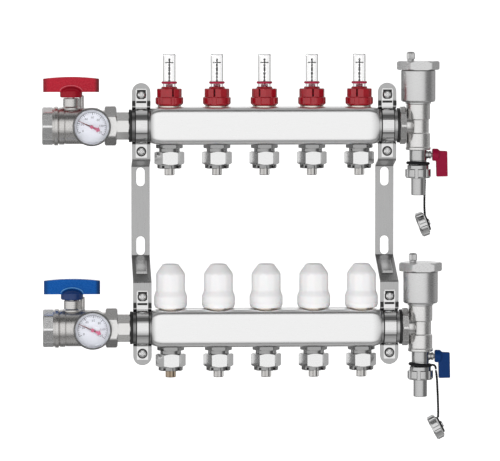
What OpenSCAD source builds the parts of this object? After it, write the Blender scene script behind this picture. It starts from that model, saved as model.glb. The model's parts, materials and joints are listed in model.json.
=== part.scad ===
// Underfloor heating manifold: two stainless bars on wall brackets, five circuits.
// Frame: X along the bars, Y towards the wall, Z up. The wall is the plane Y = 0.
// Origin: centre of the left bracket's two wall slots, on the wall plane. Millimetres.

/* [Bars] */
// Distance between neighbouring outlets
pitch = 50; // [49:0.5:52]
// Height of a bar's section
bar_height = 39.4; // [39:0.1:40]
// Front-to-back size of a bar's section
bar_width = 36; // [35.6:0.2:38]
// Wall of the bar
bar_wall = 1.5; // [1.2:0.1:1.6]
// Corner radius of the bar's section
bar_round = 7; // [6:0.5:7.5]
// Outer radius of the round neck at each end of a bar
neck_r = 17; // [16.8:0.1:17]
// Vertical distance between the two bars' axes
row_gap = 210; // [208:1:220]
// Distance from the wall to the supply bar's axis
supply_depth = 36; // [35:1:40]
// Distance from the wall to the return bar's axis
return_depth = 68; // [64:1:74]
// Height of the supply bar's axis above the middle of the wall slots
supply_rise = 92; // [91:1:96]

/* [Brackets] */
// Width of the bracket strip
strip_width = 19.4; // [18:0.2:20]
// Thickness of the bracket strip
strip_thick = 2; // [1.8:0.1:2.2]
// Length of a wall slot, end to end
slot_length = 20; // [16:1:20]
// Width of a wall slot
slot_width = 9; // [7:0.5:10]
// Distance between the centres of a bracket's wall slots
slot_gap = 73; // [70:1:73]

/* [Shut-off valves] */
// Radius of the female G1 thread's crests
port_r = 15.15; // [14.9:0.05:15.2]
// Depth of the threaded port
port_depth = 13.5; // [12:0.5:13.5]
// Radius of the ball
ball_r = 16; // [15.6:0.1:16]
// Radius of the way through the valve
way_r = 11; // [10.5:0.1:11]
// Length of the T handle
handle_span = 58.6; // [54:0.2:62]
// Diameter of the thermometer's case
gauge_d = 39.8; // [36:0.2:41]

/* [Circuits] */
// Outer radius of the insert that the pipe goes over
insert_r = 5.5; // [5.3:0.05:5.7]
// Radius of a compression nut's corners
nut_r = 16; // [15.6:0.1:16.4]
// Outer radius of a sight glass
glass_r = 6.5; // [6.3:0.1:6.5]
// Largest radius of a manual valve cap
cap_r = 17.4; // [17:0.1:17.6]

/* [Drain and vent] */
// Radius of the vent's chamber
vent_r = 18.2; // [17.8:0.1:18.6]
// Outer radius of the hose tail
tail_r = 7.2; // [7:0.1:7.3]
// Outer radius of the hanging drain cap
drain_cap_r = 13.2; // [12.8:0.1:13.4]

/* [Hidden] */
$fn = 72;
circuits = [-2, -1, 0, 1, 2];

// Places of the bars
clamp_x = 2 * pitch + 29.5;
bar_x = clamp_x;
supply_z = supply_rise;
return_z = supply_rise - row_gap;
neck_end = 2 * pitch + 40;
neck_bore = 13.5;
body_end = 2 * pitch + 11.5;
taper_end = 2 * pitch + 21;
port_hole_r = 9;
top = bar_height / 2;

// Direction of the marker groove on each flow collar
collar_turns = [-73.7, -104.5, -117.4, -88, -105.7];

// Shut-off valve, measured leftwards from the neck's end
stem_x = -63;
stem_r = 4;
seat_half = 14.5;
cavity_r = ball_r + 0.4;
valve_start = -93.5;
split_x = -69.2;
valve_face = -22;
gauge_x = -42;
gauge_back = 23.5;
gauge_front = 33;
bonnet_top = 29.2;

// End tee, vent and drain, measured rightwards from the neck's end
tee_x = 22.2;
drain_z = -31.2;
drain_ball_r = 6.2;
drain_stem_r = 2;

// Clearance of a running fit, and of a plain assembly fit
run = 0.05;
fit = 0.1;

// Clamps
upper_screw = 32.5;
lower_screw = -27;
lining_r = neck_r + 1;
screw_r = 2.4;

// Manual valves
cap_base = 21.2;
pin_top = 48;

// Retaining straps: route points from the pivot down to the cap, as [x, z] from the tee's axis
strap_r = 1.1;
supply_strap_y = 12.4;
supply_route = [[8.5, -56.4], [8.4, -62], [8.2, -68], [8.1, -74], [8, -80], [8, -86], [8.2, -91],
    [8.6, -95.5]];
return_route = [[16.3, -45.6], [17, -50], [17.6, -55.5], [17.9, -61], [18.2, -67], [18.5, -73],
    [18.7, -79], [18.9, -85], [19, -91], [18.9, -96]];
supply_cap_at = [6.1, -105.2];
supply_cap_tilt = 21;
return_cap_at = [16.5, -106];
return_cap_tilt = 28;

// ---- Places ----

// The supply bar's middle, on its axis
module at_supply() translate([bar_x, -supply_depth, supply_z]) children();

// The return bar's middle, on its axis
module at_return() translate([bar_x, -return_depth, return_z]) children();

module at_both() {
    at_supply() children();
    at_return() children();
}

module at_left_end() translate([-neck_end, 0, 0]) children();

module at_right_end() translate([neck_end, 0, 0]) children();

module at_tee() translate([neck_end + tee_x, 0, 0]) children();

module at_circuit(number) translate([circuits[number - 1] * pitch, 0, 0]) children();

module at_circuits() for (place = circuits) translate([place * pitch, 0, 0]) children();

// ---- Shapes ----

module rod_x(from, to, r) translate([from, 0, 0]) rotate([0, 90, 0]) cylinder(h = to - from, r = r);

module rod_y(from, to, r) translate([0, to, 0]) rotate([90, 0, 0]) cylinder(h = to - from, r = r);

module rod_z(from, to, r) translate([0, 0, from]) cylinder(h = to - from, r = r);

module cone_x(from, to, r1, r2)
    translate([from, 0, 0]) rotate([0, 90, 0]) cylinder(h = to - from, r1 = r1, r2 = r2);

module cone_z(from, to, r1, r2) translate([0, 0, from]) cylinder(h = to - from, r1 = r1, r2 = r2);

// Prism with the corner radius r, a corner up at turn 0
module prism_x(from, to, r, sides, turn = 0)
    translate([from, 0, 0]) rotate([0, 90, 0]) rotate([0, 0, turn]) cylinder(h = to - from, r = r, $fn = sides);

// Prism with the corner radius r, a corner towards +X at turn 0
module prism_z(from, to, r, sides, turn = 0)
    translate([0, 0, from]) rotate([0, 0, turn]) cylinder(h = to - from, r = r, $fn = sides);

module tube_x(from, to, outer, inner) difference() {
    rod_x(from, to, outer);
    rod_x(from - 1, to + 1, inner);
}

module tube_z(from, to, outer, inner) difference() {
    rod_z(from, to, outer);
    rod_z(from - 1, to + 1, inner);
}

module box(low, high) translate(low) cube(high - low);

// Points of a rectangle with rounded corners, centred on the origin
function round_rect(w, h, r, steps = 6) = [
    for (corner = [0:3], i = [0:steps])
        let (turn = 90 * corner + 90 * i / steps, sx = (corner == 0 || corner == 3) ? 1 : -1,
            sy = corner < 2 ? 1 : -1)
        [sx * (w / 2 - r) + r * cos(turn), sy * (h / 2 - r) + r * sin(turn)]
];

// Extrudes a Y-Z outline along X
module along_x(from, to) translate([from, 0, 0]) rotate([90, 0, 90]) linear_extrude(to - from) children();

// Extrudes an X-Z outline along Y, from the front face to the back face
module along_y(from, to) translate([0, to, 0]) rotate([90, 0, 0]) linear_extrude(to - from) children();

// Normals and mitred offset of a bent path, for folded sheet metal
function side(a, b) = let (d = b - a) [-d[1], d[0]] / norm(d);
function mitre(m, n) = (m + n) / (1 + m * n);
function offset_path(path, d) = let (last = len(path) - 1) [
    for (i = [0:last])
        path[i] + d * (i == 0 ? side(path[0], path[1])
            : i == last ? side(path[last - 1], path[last])
            : mitre(side(path[i - 1], path[i]), side(path[i], path[i + 1])))
];
function backwards(list) = [for (i = [len(list) - 1:-1:0]) list[i]];

module folded_sheet(path, thick)
    polygon(concat(offset_path(path, thick / 2), backwards(offset_path(path, -thick / 2))));

// Arc points in the Y-Z plane round a bar's axis
function arc(centre, r, start, end, steps) = [
    for (i = [0:steps]) let (a = start + (end - start) * i / steps) centre + r * [cos(a), sin(a)]
];

// Round cord swept along [x, z] points, eight sides
function heading(path, i) = let (last = len(path) - 1, d = path[min(i + 1, last)] - path[max(i - 1, 0)])
    d / norm(d);

module cord(path, r, sides = 8) {
    rings = [
        for (i = [0:len(path) - 1], k = [0:sides - 1])
            let (t = heading(path, i), a = 360 * k / sides)
            [path[i][0] + r * sin(a) * t[1], r * cos(a), path[i][1] - r * sin(a) * t[0]]
    ];
    last = (len(path) - 1) * sides;
    walls = [
        for (i = [0:len(path) - 2], k = [0:sides - 1])
            let (a = i * sides + k, b = i * sides + (k + 1) % sides)
            each [[a, b, b + sides], [a, b + sides, a + sides]]
    ];
    start_cap = [for (k = [1:sides - 2]) [0, k + 1, k]];
    end_cap = [for (k = [1:sides - 2]) [last, last + k, last + k + 1]];
    polyhedron(points = rings, faces = concat(walls, start_cap, end_cap));
}

// ---- Bars and brackets ----

module bar() {
    section = round_rect(bar_width, bar_height, bar_round);
    hollow = round_rect(bar_width - 2 * bar_wall, bar_height - 2 * bar_wall, bar_round - bar_wall);
    difference() {
        union() {
            along_x(-body_end, body_end) polygon(section);
            for (end = [-1, 1]) hull() {
                translate([end * body_end, 0, 0]) along_x(-0.05, 0.05) polygon(section);
                translate([end * taper_end, 0, 0]) along_x(-0.05, 0.05) circle(neck_r, $fn = 48);
            }
            rod_x(-neck_end, neck_end, neck_r);
        }
        along_x(-body_end, body_end) polygon(hollow);
        rod_x(-neck_end - 1, neck_end + 1, neck_bore);
        at_circuits() rod_z(-top - 1, top + 1, port_hole_r);
    }
}

module supply_bar() color([0.85, 0.85, 0.87]) at_supply() bar();

module return_bar() color([0.85, 0.85, 0.87]) at_return() bar();

// Folded strip: ear, saddle, ear, wall flat, ear, saddle, ear, from top to bottom, as [y, z]
module bracket() {
    half = strip_thick / 2;
    saddle = lining_r + half;
    lift = asin(half / saddle);
    supply = [-supply_depth, supply_z];
    return = [-return_depth, return_z];
    path = concat(
        [supply + [half, upper_screw + 12.4]],
        arc(supply, saddle, 90 - lift, -90 + lift, 12),
        [supply + [half, -36], [-half, 48.5], [-half, -47.5], return + [half, 47.5]],
        arc(return, saddle, 90 - lift, -90 + lift, 12),
        [return + [half, lower_screw - 12.4]]);
    end_r = strip_width / 2;
    difference() {
        along_x(-strip_width / 2, strip_width / 2) folded_sheet(path, strip_thick);
        for (end = [[supply, upper_screw, 1], [return, lower_screw, -1]])
            translate([0, end[0][0], end[0][1] + end[1]])
                difference() {
                    box([-20, -1, end[2] > 0 ? 12.4 - end_r : -30], [20, 5, end[2] > 0 ? 30 : end_r - 12.4]);
                    translate([0, 0, end[2] * (12.4 - end_r)]) rod_y(-2, 6, end_r);
                }
        for (row = [supply, return], screw = [upper_screw, lower_screw])
            translate([0, row[0], row[1] + screw]) rod_y(-1, 5, screw_r + 0.2);
        for (up = [-1, 1]) translate([0, 0, up * slot_gap / 2]) wall_slot();
    }
    stiffener(return);
}

module wall_slot() {
    straight = (slot_length - slot_width) / 2;
    box([-slot_width / 2, -strip_thick - 1, -straight], [slot_width / 2, 1, straight]);
    for (end = [-1, 1]) translate([0, 0, end * straight]) rod_y(-strip_thick - 1, 1, slot_width / 2);
}

// Raised pad pressed into the lower slope
module stiffener(row) {
    start = [-strip_thick / 2, -47.5];
    finish = row + [strip_thick / 2, 47.5];
    along = (finish - start) / norm(finish - start);
    out = [-along[1], along[0]];
    face = start - strip_thick / 2 * (out[1] > 0 ? -out : out);
    low = face + 14 * along;
    high = face + 50 * along;
    rise = 1.6 * (out[1] > 0 ? out : -out);
    along_x(-6, 6) polygon([low, high, high + rise - 1.6 * along, low + rise + 1.6 * along]);
}

module wall_brackets() color([0.62, 0.63, 0.65])
    for (end = [-1, 1]) translate([bar_x + end * clamp_x, 0, 0]) bracket();

// Front half of a clamp: a narrow strap over the lining, with an ear at each end
module clamp_strap() {
    thick = 1.5;
    middle = lining_r + thick / 2;
    lift = asin(thick / 2 / middle);
    path = concat(
        [[-thick / 2, upper_screw + 6.5]],
        arc([0, 0], middle, 90 + lift, 270 - lift, 14),
        [[-thick / 2, lower_screw - 6.5]]);
    difference() {
        along_x(-6, 6) folded_sheet(path, thick);
        for (screw = [upper_screw, lower_screw]) translate([0, 0, screw]) rod_y(-4, 1, screw_r + 0.2);
    }
}

module at_clamps() at_both() for (end = [-1, 1]) translate([end * clamp_x, 0, 0]) children();

module clamp_straps() color([0.66, 0.67, 0.69]) at_clamps() clamp_strap();

// Rubber lining round the neck, open at the top, with a lug on each side of the strap
module clamp_lining() {
    difference() {
        tube_x(-7, 7, lining_r - 0.2, neck_r + 0.05);
        box([-8, -1, 10], [8, 1, 20]);
    }
    for (edge = [-1, 1]) translate([edge * 7.9, 0, 0]) box([-1.8, -2.6, lining_r - 0.6], [1.8, -0.1, 26]);
}

module clamp_linings() color([0.06, 0.06, 0.06]) at_clamps() clamp_lining();

// Pan-head screw with a cross recess, and its nut behind the bracket
module clamp_screw() {
    difference() {
        union() {
            rod_y(-4.5, -1.5, 4.6);
            rod_y(-2, 7, screw_r);
        }
        for (turn = [45, 135]) rotate([0, turn, 0]) box([-0.6, -5, -2.6], [0.6, -3, 2.6]);
    }
    difference() {
        translate([0, 6, 0]) rotate([90, 0, 0]) cylinder(h = 4, r = 4.6, $fn = 6);
        rod_y(1, 7.5, screw_r + run);
    }
}

module clamp_screws() color([0.75, 0.75, 0.77])
    at_clamps() for (screw = [upper_screw, lower_screw]) translate([0, 0, screw]) clamp_screw();

// ---- Shut-off valves, unions and thermometers ----

// Outlet half of the valve: barrel, bonnet, thermometer boss, stop post and union thread
module valve_barrel() difference() {
    union() {
        rod_x(split_x, -36, 19.2);
        cone_x(-36, -31, 19.2, 16.5);
        rod_x(-31, valve_face, 16.5);
        translate([stem_x, 0, 0]) rod_z(12, bonnet_top, 8.45);
        translate([gauge_x, 0, 0]) rod_y(-gauge_back, -14, 7);
        translate([stem_x + 11, 10, 0]) rod_z(12, 32, 2.5);
    }
    rod_x(stem_x - seat_half - 5, stem_x + seat_half, cavity_r);
    rod_x(stem_x, valve_face + 1, way_r);
    translate([stem_x, 0, 0]) rod_z(0, bonnet_top + 1, stem_r + run);
    translate([gauge_x, 0, 0]) rod_y(-gauge_back - 1, 0, 2.6);
}

// Inlet half: octagon with the female thread, and two rings
module valve_inlet() difference() {
    union() {
        prism_x(valve_start, -82.6, 20, 8);
        rod_x(-82.6, -81, 19.4);
        rod_x(-81, -76.5, 20.6);
        rod_x(-76.5, -75.8, 18.9);
        rod_x(-75.8, split_x - 0.7, 19.7);
        rod_x(split_x - 0.7, split_x, 18.9);
    }
    rod_x(valve_start - 1, valve_start + port_depth, port_r);
    rod_x(valve_start, stem_x, way_r);
    rod_x(stem_x - seat_half, stem_x, cavity_r);
}

module valve_bodies() color([0.72, 0.71, 0.69]) at_both() at_left_end() {
    valve_barrel();
    valve_inlet();
}

// Ball with its stem
module ball_and_stem() translate([stem_x, 0, 0]) {
    difference() {
        union() {
            sphere(ball_r);
            rod_z(ball_r - 4, 39, stem_r);
        }
        rod_x(-ball_r - 1, ball_r + 1, way_r - 0.5);
    }
}

module supply_ball() color([0.8, 0.8, 0.82]) at_supply() at_left_end() ball_and_stem();

module return_ball() color([0.8, 0.8, 0.82]) at_return() at_left_end() ball_and_stem();

// T handle: arched wing over a domed hub
module t_handle() {
    half = handle_span / 2;
    hub_r = 11.7;
    hub_low = 30;
    dome_from = 35.5;
    dome_rise = 6.3;
    wing_low = 35.7;
    wing_high = 51.5;
    droop = 1.9;
    dome = [for (i = [0:8]) let (a = 90 * i / 8) [hub_r * cos(a), dome_from + dome_rise * sin(a)]];
    arch = [for (i = [-8:8]) [half * i / 8, wing_high - droop * pow(i / 8, 2)]];
    translate([stem_x, 0, 0]) difference() {
        union() {
            rotate_extrude() polygon(concat([[0, hub_low], [hub_r - 0.8, hub_low], [hub_r, hub_low + 0.8]], dome));
            along_y(-4.5, 4.5) polygon(concat([[half, wing_low], [-half, wing_low]], arch));
        }
        rod_z(hub_low - 1, 39.5, stem_r + run);
    }
}

module supply_handle() color([0.75, 0.05, 0.15]) at_supply() at_left_end() t_handle();

module return_handle() color([0.05, 0.25, 0.65]) at_return() at_left_end() t_handle();

// Hexagon nut with an inward lip that pulls the tail's collar to the valve
module union_nut() difference() {
    intersection() {
        prism_x(-28, -15.6, 21, 6);
        union() {
            cone_x(-28, -26, 19.4, 21);
            rod_x(-26, -17, 21);
            cone_x(-17, -15.6, 21, 20);
        }
    }
    rod_x(-29, -17.4, 16.6);
    rod_x(-29, -15, 14.4);
}

module union_nuts() color([0.7, 0.69, 0.68]) at_both() at_left_end() union_nut();

// Tail: collar inside the nut, octagon, and the spigot screwed into the bar's neck
module union_tail() difference() {
    union() {
        rod_x(-20.8, -17.5, 16.2);
        rod_x(-20.8, -15.5, 14.3);
        prism_x(-15.5, -2.5, 15.5, 8, 22.5);
        rod_x(-2.6, 9, neck_bore - fit);
    }
    rod_x(-22, 10, way_r);
}

module union_tails() color([0.74, 0.73, 0.72]) at_both() at_left_end() union_tail();

module at_gauge() at_both() at_left_end() translate([gauge_x, 0, 0]) children();

// Steel case with its pocket stem, open to the front
module thermometer_case() {
    difference() {
        rod_y(-gauge_front, -gauge_back, gauge_d / 2);
        rod_y(-gauge_front - 1, -gauge_back - 1.5, gauge_d / 2 - 1.6);
    }
    rod_y(-gauge_back - 0.1, -7, 2.5);
}

module thermometer_cases() color([0.5, 0.5, 0.52]) at_gauge() thermometer_case();

module thermometer_dials() color([0.95, 0.95, 0.96])
    at_gauge() difference() {
        rod_y(-gauge_back - 2.5, -gauge_back - 1.5, gauge_d / 2 - 1.7);
        rod_y(-gauge_back - 3, -gauge_back - 1, 0.8);
    }

module thermometer_lenses() color([0.9, 0.95, 1, 0.4])
    at_gauge() rod_y(-gauge_front + 0.3, -gauge_front + 1.8, gauge_d / 2 - 1.7);

// Pointer with a broad tail, pointing up and to the left at rest
module needle() {
    face = -gauge_back - 4.6;
    translate([gauge_x, 0, 0]) {
        rotate([0, 24.7, 0]) along_y(face, face + 0.6)
            polygon([[-16, -0.25], [-16, 0.25], [0, 1.1], [6.5, 1.6], [6.2, 3.2], [9.8, 0], [6.2, -3.2],
                [6.5, -1.6], [0, -1.1]]);
        rod_y(face - 0.6, -gauge_back - 2.6, 1.6);
        rod_y(-gauge_back - 2.7, -gauge_back - 1.6, 0.75);
    }
}

module supply_needle() color([0.45, 0.1, 0.15]) at_supply() at_left_end() needle();

module return_needle() color([0.45, 0.1, 0.15]) at_return() at_left_end() needle();

// ---- Circuits: flow meters, manual valves and pipe connections ----

// Brass seat of a flow meter: flange on the bar, spigot for the collar, bore for the glass
module flow_seat() difference() {
    union() {
        rod_z(top - 3, top + 0.01, port_hole_r - fit);
        rod_z(top, top + 1.5, 12.4);
        rod_z(top + 1, 38.2, 10);
    }
    rod_z(30, 39, glass_r + run);
    rod_z(top - 4, 39, 4.5);
}

// Thermostatic insert: flange, threaded ring for the cap and a gland round the pin
module valve_insert() difference() {
    union() {
        rod_z(top - 3, top + 0.01, port_hole_r - fit);
        rod_z(top, top + 1, 12.4);
        rod_z(top + 0.9, 29.5, 15);
        rod_z(29, 41, 8);
    }
    rod_z(top - 4, 42, 2 + run);
}

module bar_cartridges() color([0.78, 0.72, 0.55]) {
    at_supply() at_circuits() flow_seat();
    at_return() at_circuits() valve_insert();
}

// Sight glass: tube closed at the top, with a flange above the collar
module sight_glass() difference() {
    union() {
        rod_z(30.3, 74.4, glass_r);
        cone_z(74.4, 75.5, glass_r, glass_r - 0.9);
        rod_z(44, 46.7, 8.3);
    }
    rod_z(29, 73.6, glass_r - 1.3);
}

module sight_glasses() color([0.9, 0.93, 0.95, 0.4]) at_supply() at_circuits() sight_glass();

// Red collar that turns on the seat's spigot to set the flow
module flow_collar() difference() {
    union() {
        lower_r = 14.6;
        rod_z(22, 30.4, lower_r - 0.9);
        cone_z(21.4, 22.4, lower_r - 2, lower_r - 1);
        for (i = [0:5]) rotate([0, 0, 60 * i + 30]) prism_lobe(22.4, 30, lower_r);
        prism_z(30, 39, 13.3, 12);
        cone_z(39, 41.2, 8.6, 8.0);
    }
    for (side = [0, 180]) rotate([0, 0, side]) box([12.1, -0.9, 30.8], [14, 0.9, 40]);
    rod_z(20, 38.4, 10 + run);
    rod_z(38, 42, 6.9);
}

// One lobe of the collar's skirt
module prism_lobe(from, to, r) intersection() {
    rod_z(from, to, r);
    box([9, -5, from - 1], [r + 1, 5, to + 1]);
}

module flow_collar_at(number) color([0.75, 0.04, 0.12]) at_supply() at_circuit(number)
    rotate([0, 0, collar_turns[number - 1]]) flow_collar();

// Float of a flow meter: rod with scale rings, indicator disc at the top, baffle in the stream
module flow_float() {
    rod_r = 0.8;
    rod_z(-12, 69.4, rod_r);
    rod_z(-12, -10.8, 6);
    rod_z(-11, 10, 1.4);
    for (ring = [50, 55, 60]) rod_z(ring, ring + 1.2, rod_r + 0.45);
    rod_z(65.9, 66.9, 4.4);
    translate([0, 0, 69.6]) sphere(1.3);
}

module flow_float_at(number) color([0.08, 0.08, 0.08]) at_supply() at_circuit(number) flow_float();

// White manual cap: flared skirt, facetted body and a chamfered top
module valve_cap() {
    shell = [[0, 67], [7.9, 67], [14.4, 58], [15.1, 56.5], [15.1, 38.6], [cap_r, 33], [cap_r, 24.2],
        [cap_r - 1.4, cap_base], [0, cap_base]];
    difference() {
        intersection() {
            rotate_extrude() polygon(shell);
            union() {
                rod_z(cap_base - 1, 38.6, cap_r + 1);
                prism_z(35, 68, 15.6, 12);
            }
        }
        rod_z(cap_base - 1, 31.5, 15 + run);
        rod_z(31, 41.5, 13.2);
        difference() {
            rod_z(41, 60, 12.4);
            rod_z(pin_top + 0.3, 61, 4);
        }
    }
}

module valve_cap_at(number) color([0.93, 0.93, 0.93]) at_return() at_circuit(number) valve_cap();

// Pin of a manual valve with its disc over the outlet's seat
module valve_pin() {
    rod_z(-16, pin_top, 2);
    rod_z(-17.6, -15.5, 7);
}

module valve_pin_at(number) color([0.7, 0.7, 0.7]) at_return() at_circuit(number) valve_pin();

// Nipple under the bar: spigot in the bar, hexagon, thread for the compression nut
module outlet_nipple() difference() {
    union() {
        rod_z(-top - 0.01, -top + 1.4, port_hole_r - fit);
        prism_z(-top - 3.9, -top, 14.4, 6);
        rod_z(-36, -top - 3, 10.9);
    }
    rod_z(-37, -top + 2, 7.5);
}

module outlet_nipples() color([0.74, 0.73, 0.72]) at_both() at_circuits() outlet_nipple();

// Compression nut: hexagon with turned corners and a notched lip
module compression_nut() difference() {
    union() {
        intersection() {
            prism_z(-40.6, -27, nut_r, 6, 4);
            union() {
                cone_z(-40.6, -39.4, nut_r - 1.4, nut_r);
                rod_z(-39.4, -28.2, nut_r);
                cone_z(-28.2, -27, nut_r, nut_r - 1.4);
            }
        }
        rod_z(-44.8, -40, 12.8);
    }
    rod_z(-41, -26, 10.9 + fit);
    rod_z(-46, -40, 8.6);
    for (i = [0:9]) rotate([0, 0, 36 * i + 22]) box([9.6, -1, -46], [14, 1, -41.6]);
}

module compression_nuts() color([0.76, 0.75, 0.74]) at_both() at_circuits() compression_nut();

// Insert for the pipe, and the split ring that the nut squeezes onto the pipe
module pipe_insert() difference() {
    union() {
        rod_z(-36.1, -32, 7.4);
        rod_z(-37.2, -36, 9.6);
        rod_z(-52, -37, insert_r);
    }
    rod_z(-53, -31, insert_r - 1.5);
}

module split_ring() difference() {
    cone_z(-40.9, -37.4, 10.2, 10.7);
    rod_z(-42, -37, 8.2);
    box([-1, -12, -42], [1, 0, -36]);
}

module pipe_inserts() color([0.78, 0.74, 0.6]) at_both() at_circuits() {
    pipe_insert();
    split_ring();
}

// ---- Right-hand ends: tee, air vent, drain cock ----

module end_tee() {
    difference() {
        union() {
            rod_x(-10, 2.5, neck_bore - fit);
            prism_x(2.4, 9, 19.8, 6);
            rod_x(8.9, tee_x, 9.7);
            translate([tee_x, 0, 0]) {
                rod_z(-26, -22.5, 13.2);
                rod_z(-22.6, -8, 12.6);
                rod_z(-8.1, 6.1, 11.3);
                rod_z(6, 22.6, 12.6);
            }
        }
        rod_x(-11, tee_x, 8);
        translate([tee_x, 0, 0]) {
            rod_z(-18, 14, 8);
            rod_z(13, 23, 10);
            rod_z(-27, -17.9, 8.5);
        }
    }
}

module end_tees() color([0.72, 0.71, 0.69]) at_both() at_right_end() end_tee();

module vent_body() difference() {
    union() {
        rod_z(14, 22.7, 9.9);
        rod_z(22.6, 25, 13.6);
        cone_z(24.8, 25.8, vent_r - 1, vent_r);
        rod_z(25.8, 57.8, vent_r);
    }
    rod_z(27.5, 58, vent_r - 2);
    rod_z(13, 28, 7);
}

module vent_bodies() color([0.74, 0.73, 0.72]) at_both() at_tee() vent_body();

// Hexagon lid with its plug, and the knurled dust cap over the outlet
module vent_lid() {
    plate_low = 58.4;
    plate_high = 67.6;
    cap_x = -8;
    difference() {
        union() {
            intersection() {
                prism_z(plate_low, plate_high, 22.9, 6, 4);
                union() {
                    rod_z(plate_low, plate_high - 1, 22.6);
                    cone_z(plate_high - 1, plate_high, 22.6, 21.4);
                }
            }
            rod_z(52, plate_low + 0.1, vent_r - 2 - fit);
            translate([cap_x, 0, 0]) rod_z(plate_high - 0.1, 74, 2.4);
        }
        rod_z(51, 64, 14);
        translate([cap_x, 0, 0]) rod_z(63, 75, 0.9);
    }
    translate([cap_x, 0, 0]) difference() {
        union() {
            rod_z(plate_high + 0.3, 76.4, 4.1);
            cone_z(76.4, 77.4, 4.1, 3.3);
            for (i = [0:11]) rotate([0, 0, 30 * i]) box([3.6, -0.5, 68.6], [4.5, 0.5, 76]);
        }
        rod_z(plate_high, 74.6, 2.4 + fit);
    }
}

module vent_lids() color([0.74, 0.73, 0.72]) at_both() at_tee() vent_lid();

// Hollow float with the needle that closes the lid's outlet
module vent_float() {
    difference() {
        rod_z(28, 46, 13.2);
        rod_z(29.2, 44.8, 12);
    }
    rod_z(45, 59, 1.2);
}

module supply_vent_float() color([0.85, 0.85, 0.8]) at_supply() at_tee() vent_float();

module return_vent_float() color([0.85, 0.85, 0.8]) at_return() at_tee() vent_float();

// Drain cock: spigot in the tee, ball housing, gland of the stem, thread for the nut
module drain_body() difference() {
    union() {
        rod_z(-26.1, -19, 8.4);
        rod_z(-42, -26, 9.2);
        rod_z(-50, -41.9, 11.3);
        translate([0, 0, drain_z]) rod_x(0, 14, 4.1);
    }
    rod_z(-51, -18, 4.2);
    rod_z(drain_z - 5.6, drain_z + 5.6, drain_ball_r + 0.3);
    translate([0, 0, drain_z]) rod_x(0, 15, drain_stem_r + run);
}

module drain_bodies() color([0.76, 0.75, 0.74]) at_both() at_tee() drain_body();

// Notched collar nut, and the hose tail that it holds
module drain_nut() difference() {
    union() {
        rod_z(-55.5, -46.6, 12.9);
        for (i = [0:7]) rotate([0, 0, 45 * i + 10]) box([10, -3.4, -54.6], [13.6, 3.4, -45.9]);
    }
    rod_z(-53.3, -45, 11.4);
    rod_z(-56, -52, tail_r + 0.3);
}

module hose_tail() difference() {
    union() {
        rod_z(-53.2, -51.2, 11.2);
        rod_z(-56.2, -53, tail_r + 0.2);
        rod_z(-73.7, -56.1, tail_r);
    }
    rod_z(-75, -51, tail_r - 1.6);
}

module drain_outlets() color([0.76, 0.75, 0.74]) at_both() at_tee() {
    drain_nut();
    hose_tail();
}

module drain_ball() translate([0, 0, drain_z]) difference() {
    union() {
        sphere(drain_ball_r);
        rod_x(4, 21, drain_stem_r);
    }
    rod_z(-8, 8, 3.8);
}

module supply_drain_ball() color([0.8, 0.8, 0.82]) at_supply() at_tee() drain_ball();

module return_drain_ball() color([0.8, 0.8, 0.82]) at_return() at_tee() drain_ball();

// Lever on the drain's stem: round hub and a blade that hangs down at rest
module drain_handle() translate([0, 0, drain_z]) difference() {
    union() {
        rod_x(15, 21.6, 6.4);
        along_y(-3.6, 3.6)
            polygon([[15.2, 6.5], [20.6, 6.5], [23, 4.3], [30.8, 3.9], [31.3, -22.8], [19.4, -23], [19, -6.5],
                [15.2, -6.2]]);
    }
    rod_x(14, 21.1, drain_stem_r + run);
}

module supply_drain_handle() color([0.7, 0.03, 0.2]) at_supply() at_tee() drain_handle();

module return_drain_handle() color([0.04, 0.18, 0.5]) at_return() at_tee() drain_handle();

// Band round the drain cock, with the short end that the cap's strap hangs from
module strap_band() tube_z(-41.6, -38.4, 11.6, 9.35);

module supply_strap_ring() {
    reach = norm([supply_route[0][0], supply_strap_y]);
    strap_band();
    rotate([0, 0, atan2(supply_strap_y, supply_route[0][0])]) {
        translate([0, 0, -39.6]) rod_x(11, reach, strap_r);
        translate([reach, 0, 0]) {
            rod_z(supply_route[0][1] + 0.5, -39.6, strap_r);
            translate([0, 0, -39.6]) sphere(strap_r);
        }
    }
}

module return_strap_ring() {
    reach = return_route[0][0];
    strap_band();
    translate([0, 0, -39.9]) rod_x(11, reach, strap_r);
    translate([reach, 0, 0]) {
        rod_z(return_route[0][1] + 0.5, -39.9, strap_r);
        translate([0, 0, -39.9]) sphere(strap_r);
    }
}

module strap_rings() color([0.07, 0.07, 0.07]) {
    at_supply() at_tee() supply_strap_ring();
    at_return() at_tee() return_strap_ring();
}

module supply_cap_strap() color([0.07, 0.07, 0.07])
    at_supply() at_tee() translate([0, supply_strap_y, 0]) cord(supply_route, strap_r);

module return_cap_strap() color([0.07, 0.07, 0.07]) at_return() at_tee() cord(return_route, strap_r);

// Drain cap, its axis along the strap's pull: cup, eyelet of the strap and the button that holds it
module drain_cap(place, tilt) translate([place[0], 0, place[1]]) rotate([0, 90 - tilt, 0]) {
    difference() {
        union() {
            rod_z(-4.4, 3.6, drain_cap_r - 0.9);
            cone_z(3.6, 4.6, drain_cap_r - 0.9, drain_cap_r - 2.2);
            for (i = [0:7]) rotate([0, 0, 45 * i + 22.5]) box([9, -3.2, -3.6], [drain_cap_r, 3.2, 3.4]);
        }
        rod_z(-5, 2.6, 11.2);
    }
    rod_z(4.5, 6.2, 7.2);
    rod_z(6.1, 8.2, 3.6);
}

module supply_drain_cap() color([0.74, 0.73, 0.72])
    at_supply() at_tee() translate([0, supply_strap_y, 0]) drain_cap(supply_cap_at, supply_cap_tilt);

module return_drain_cap() color([0.74, 0.73, 0.72])
    at_return() at_tee() drain_cap(return_cap_at, return_cap_tilt);

// ---- Seals and ball seats ----

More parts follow.
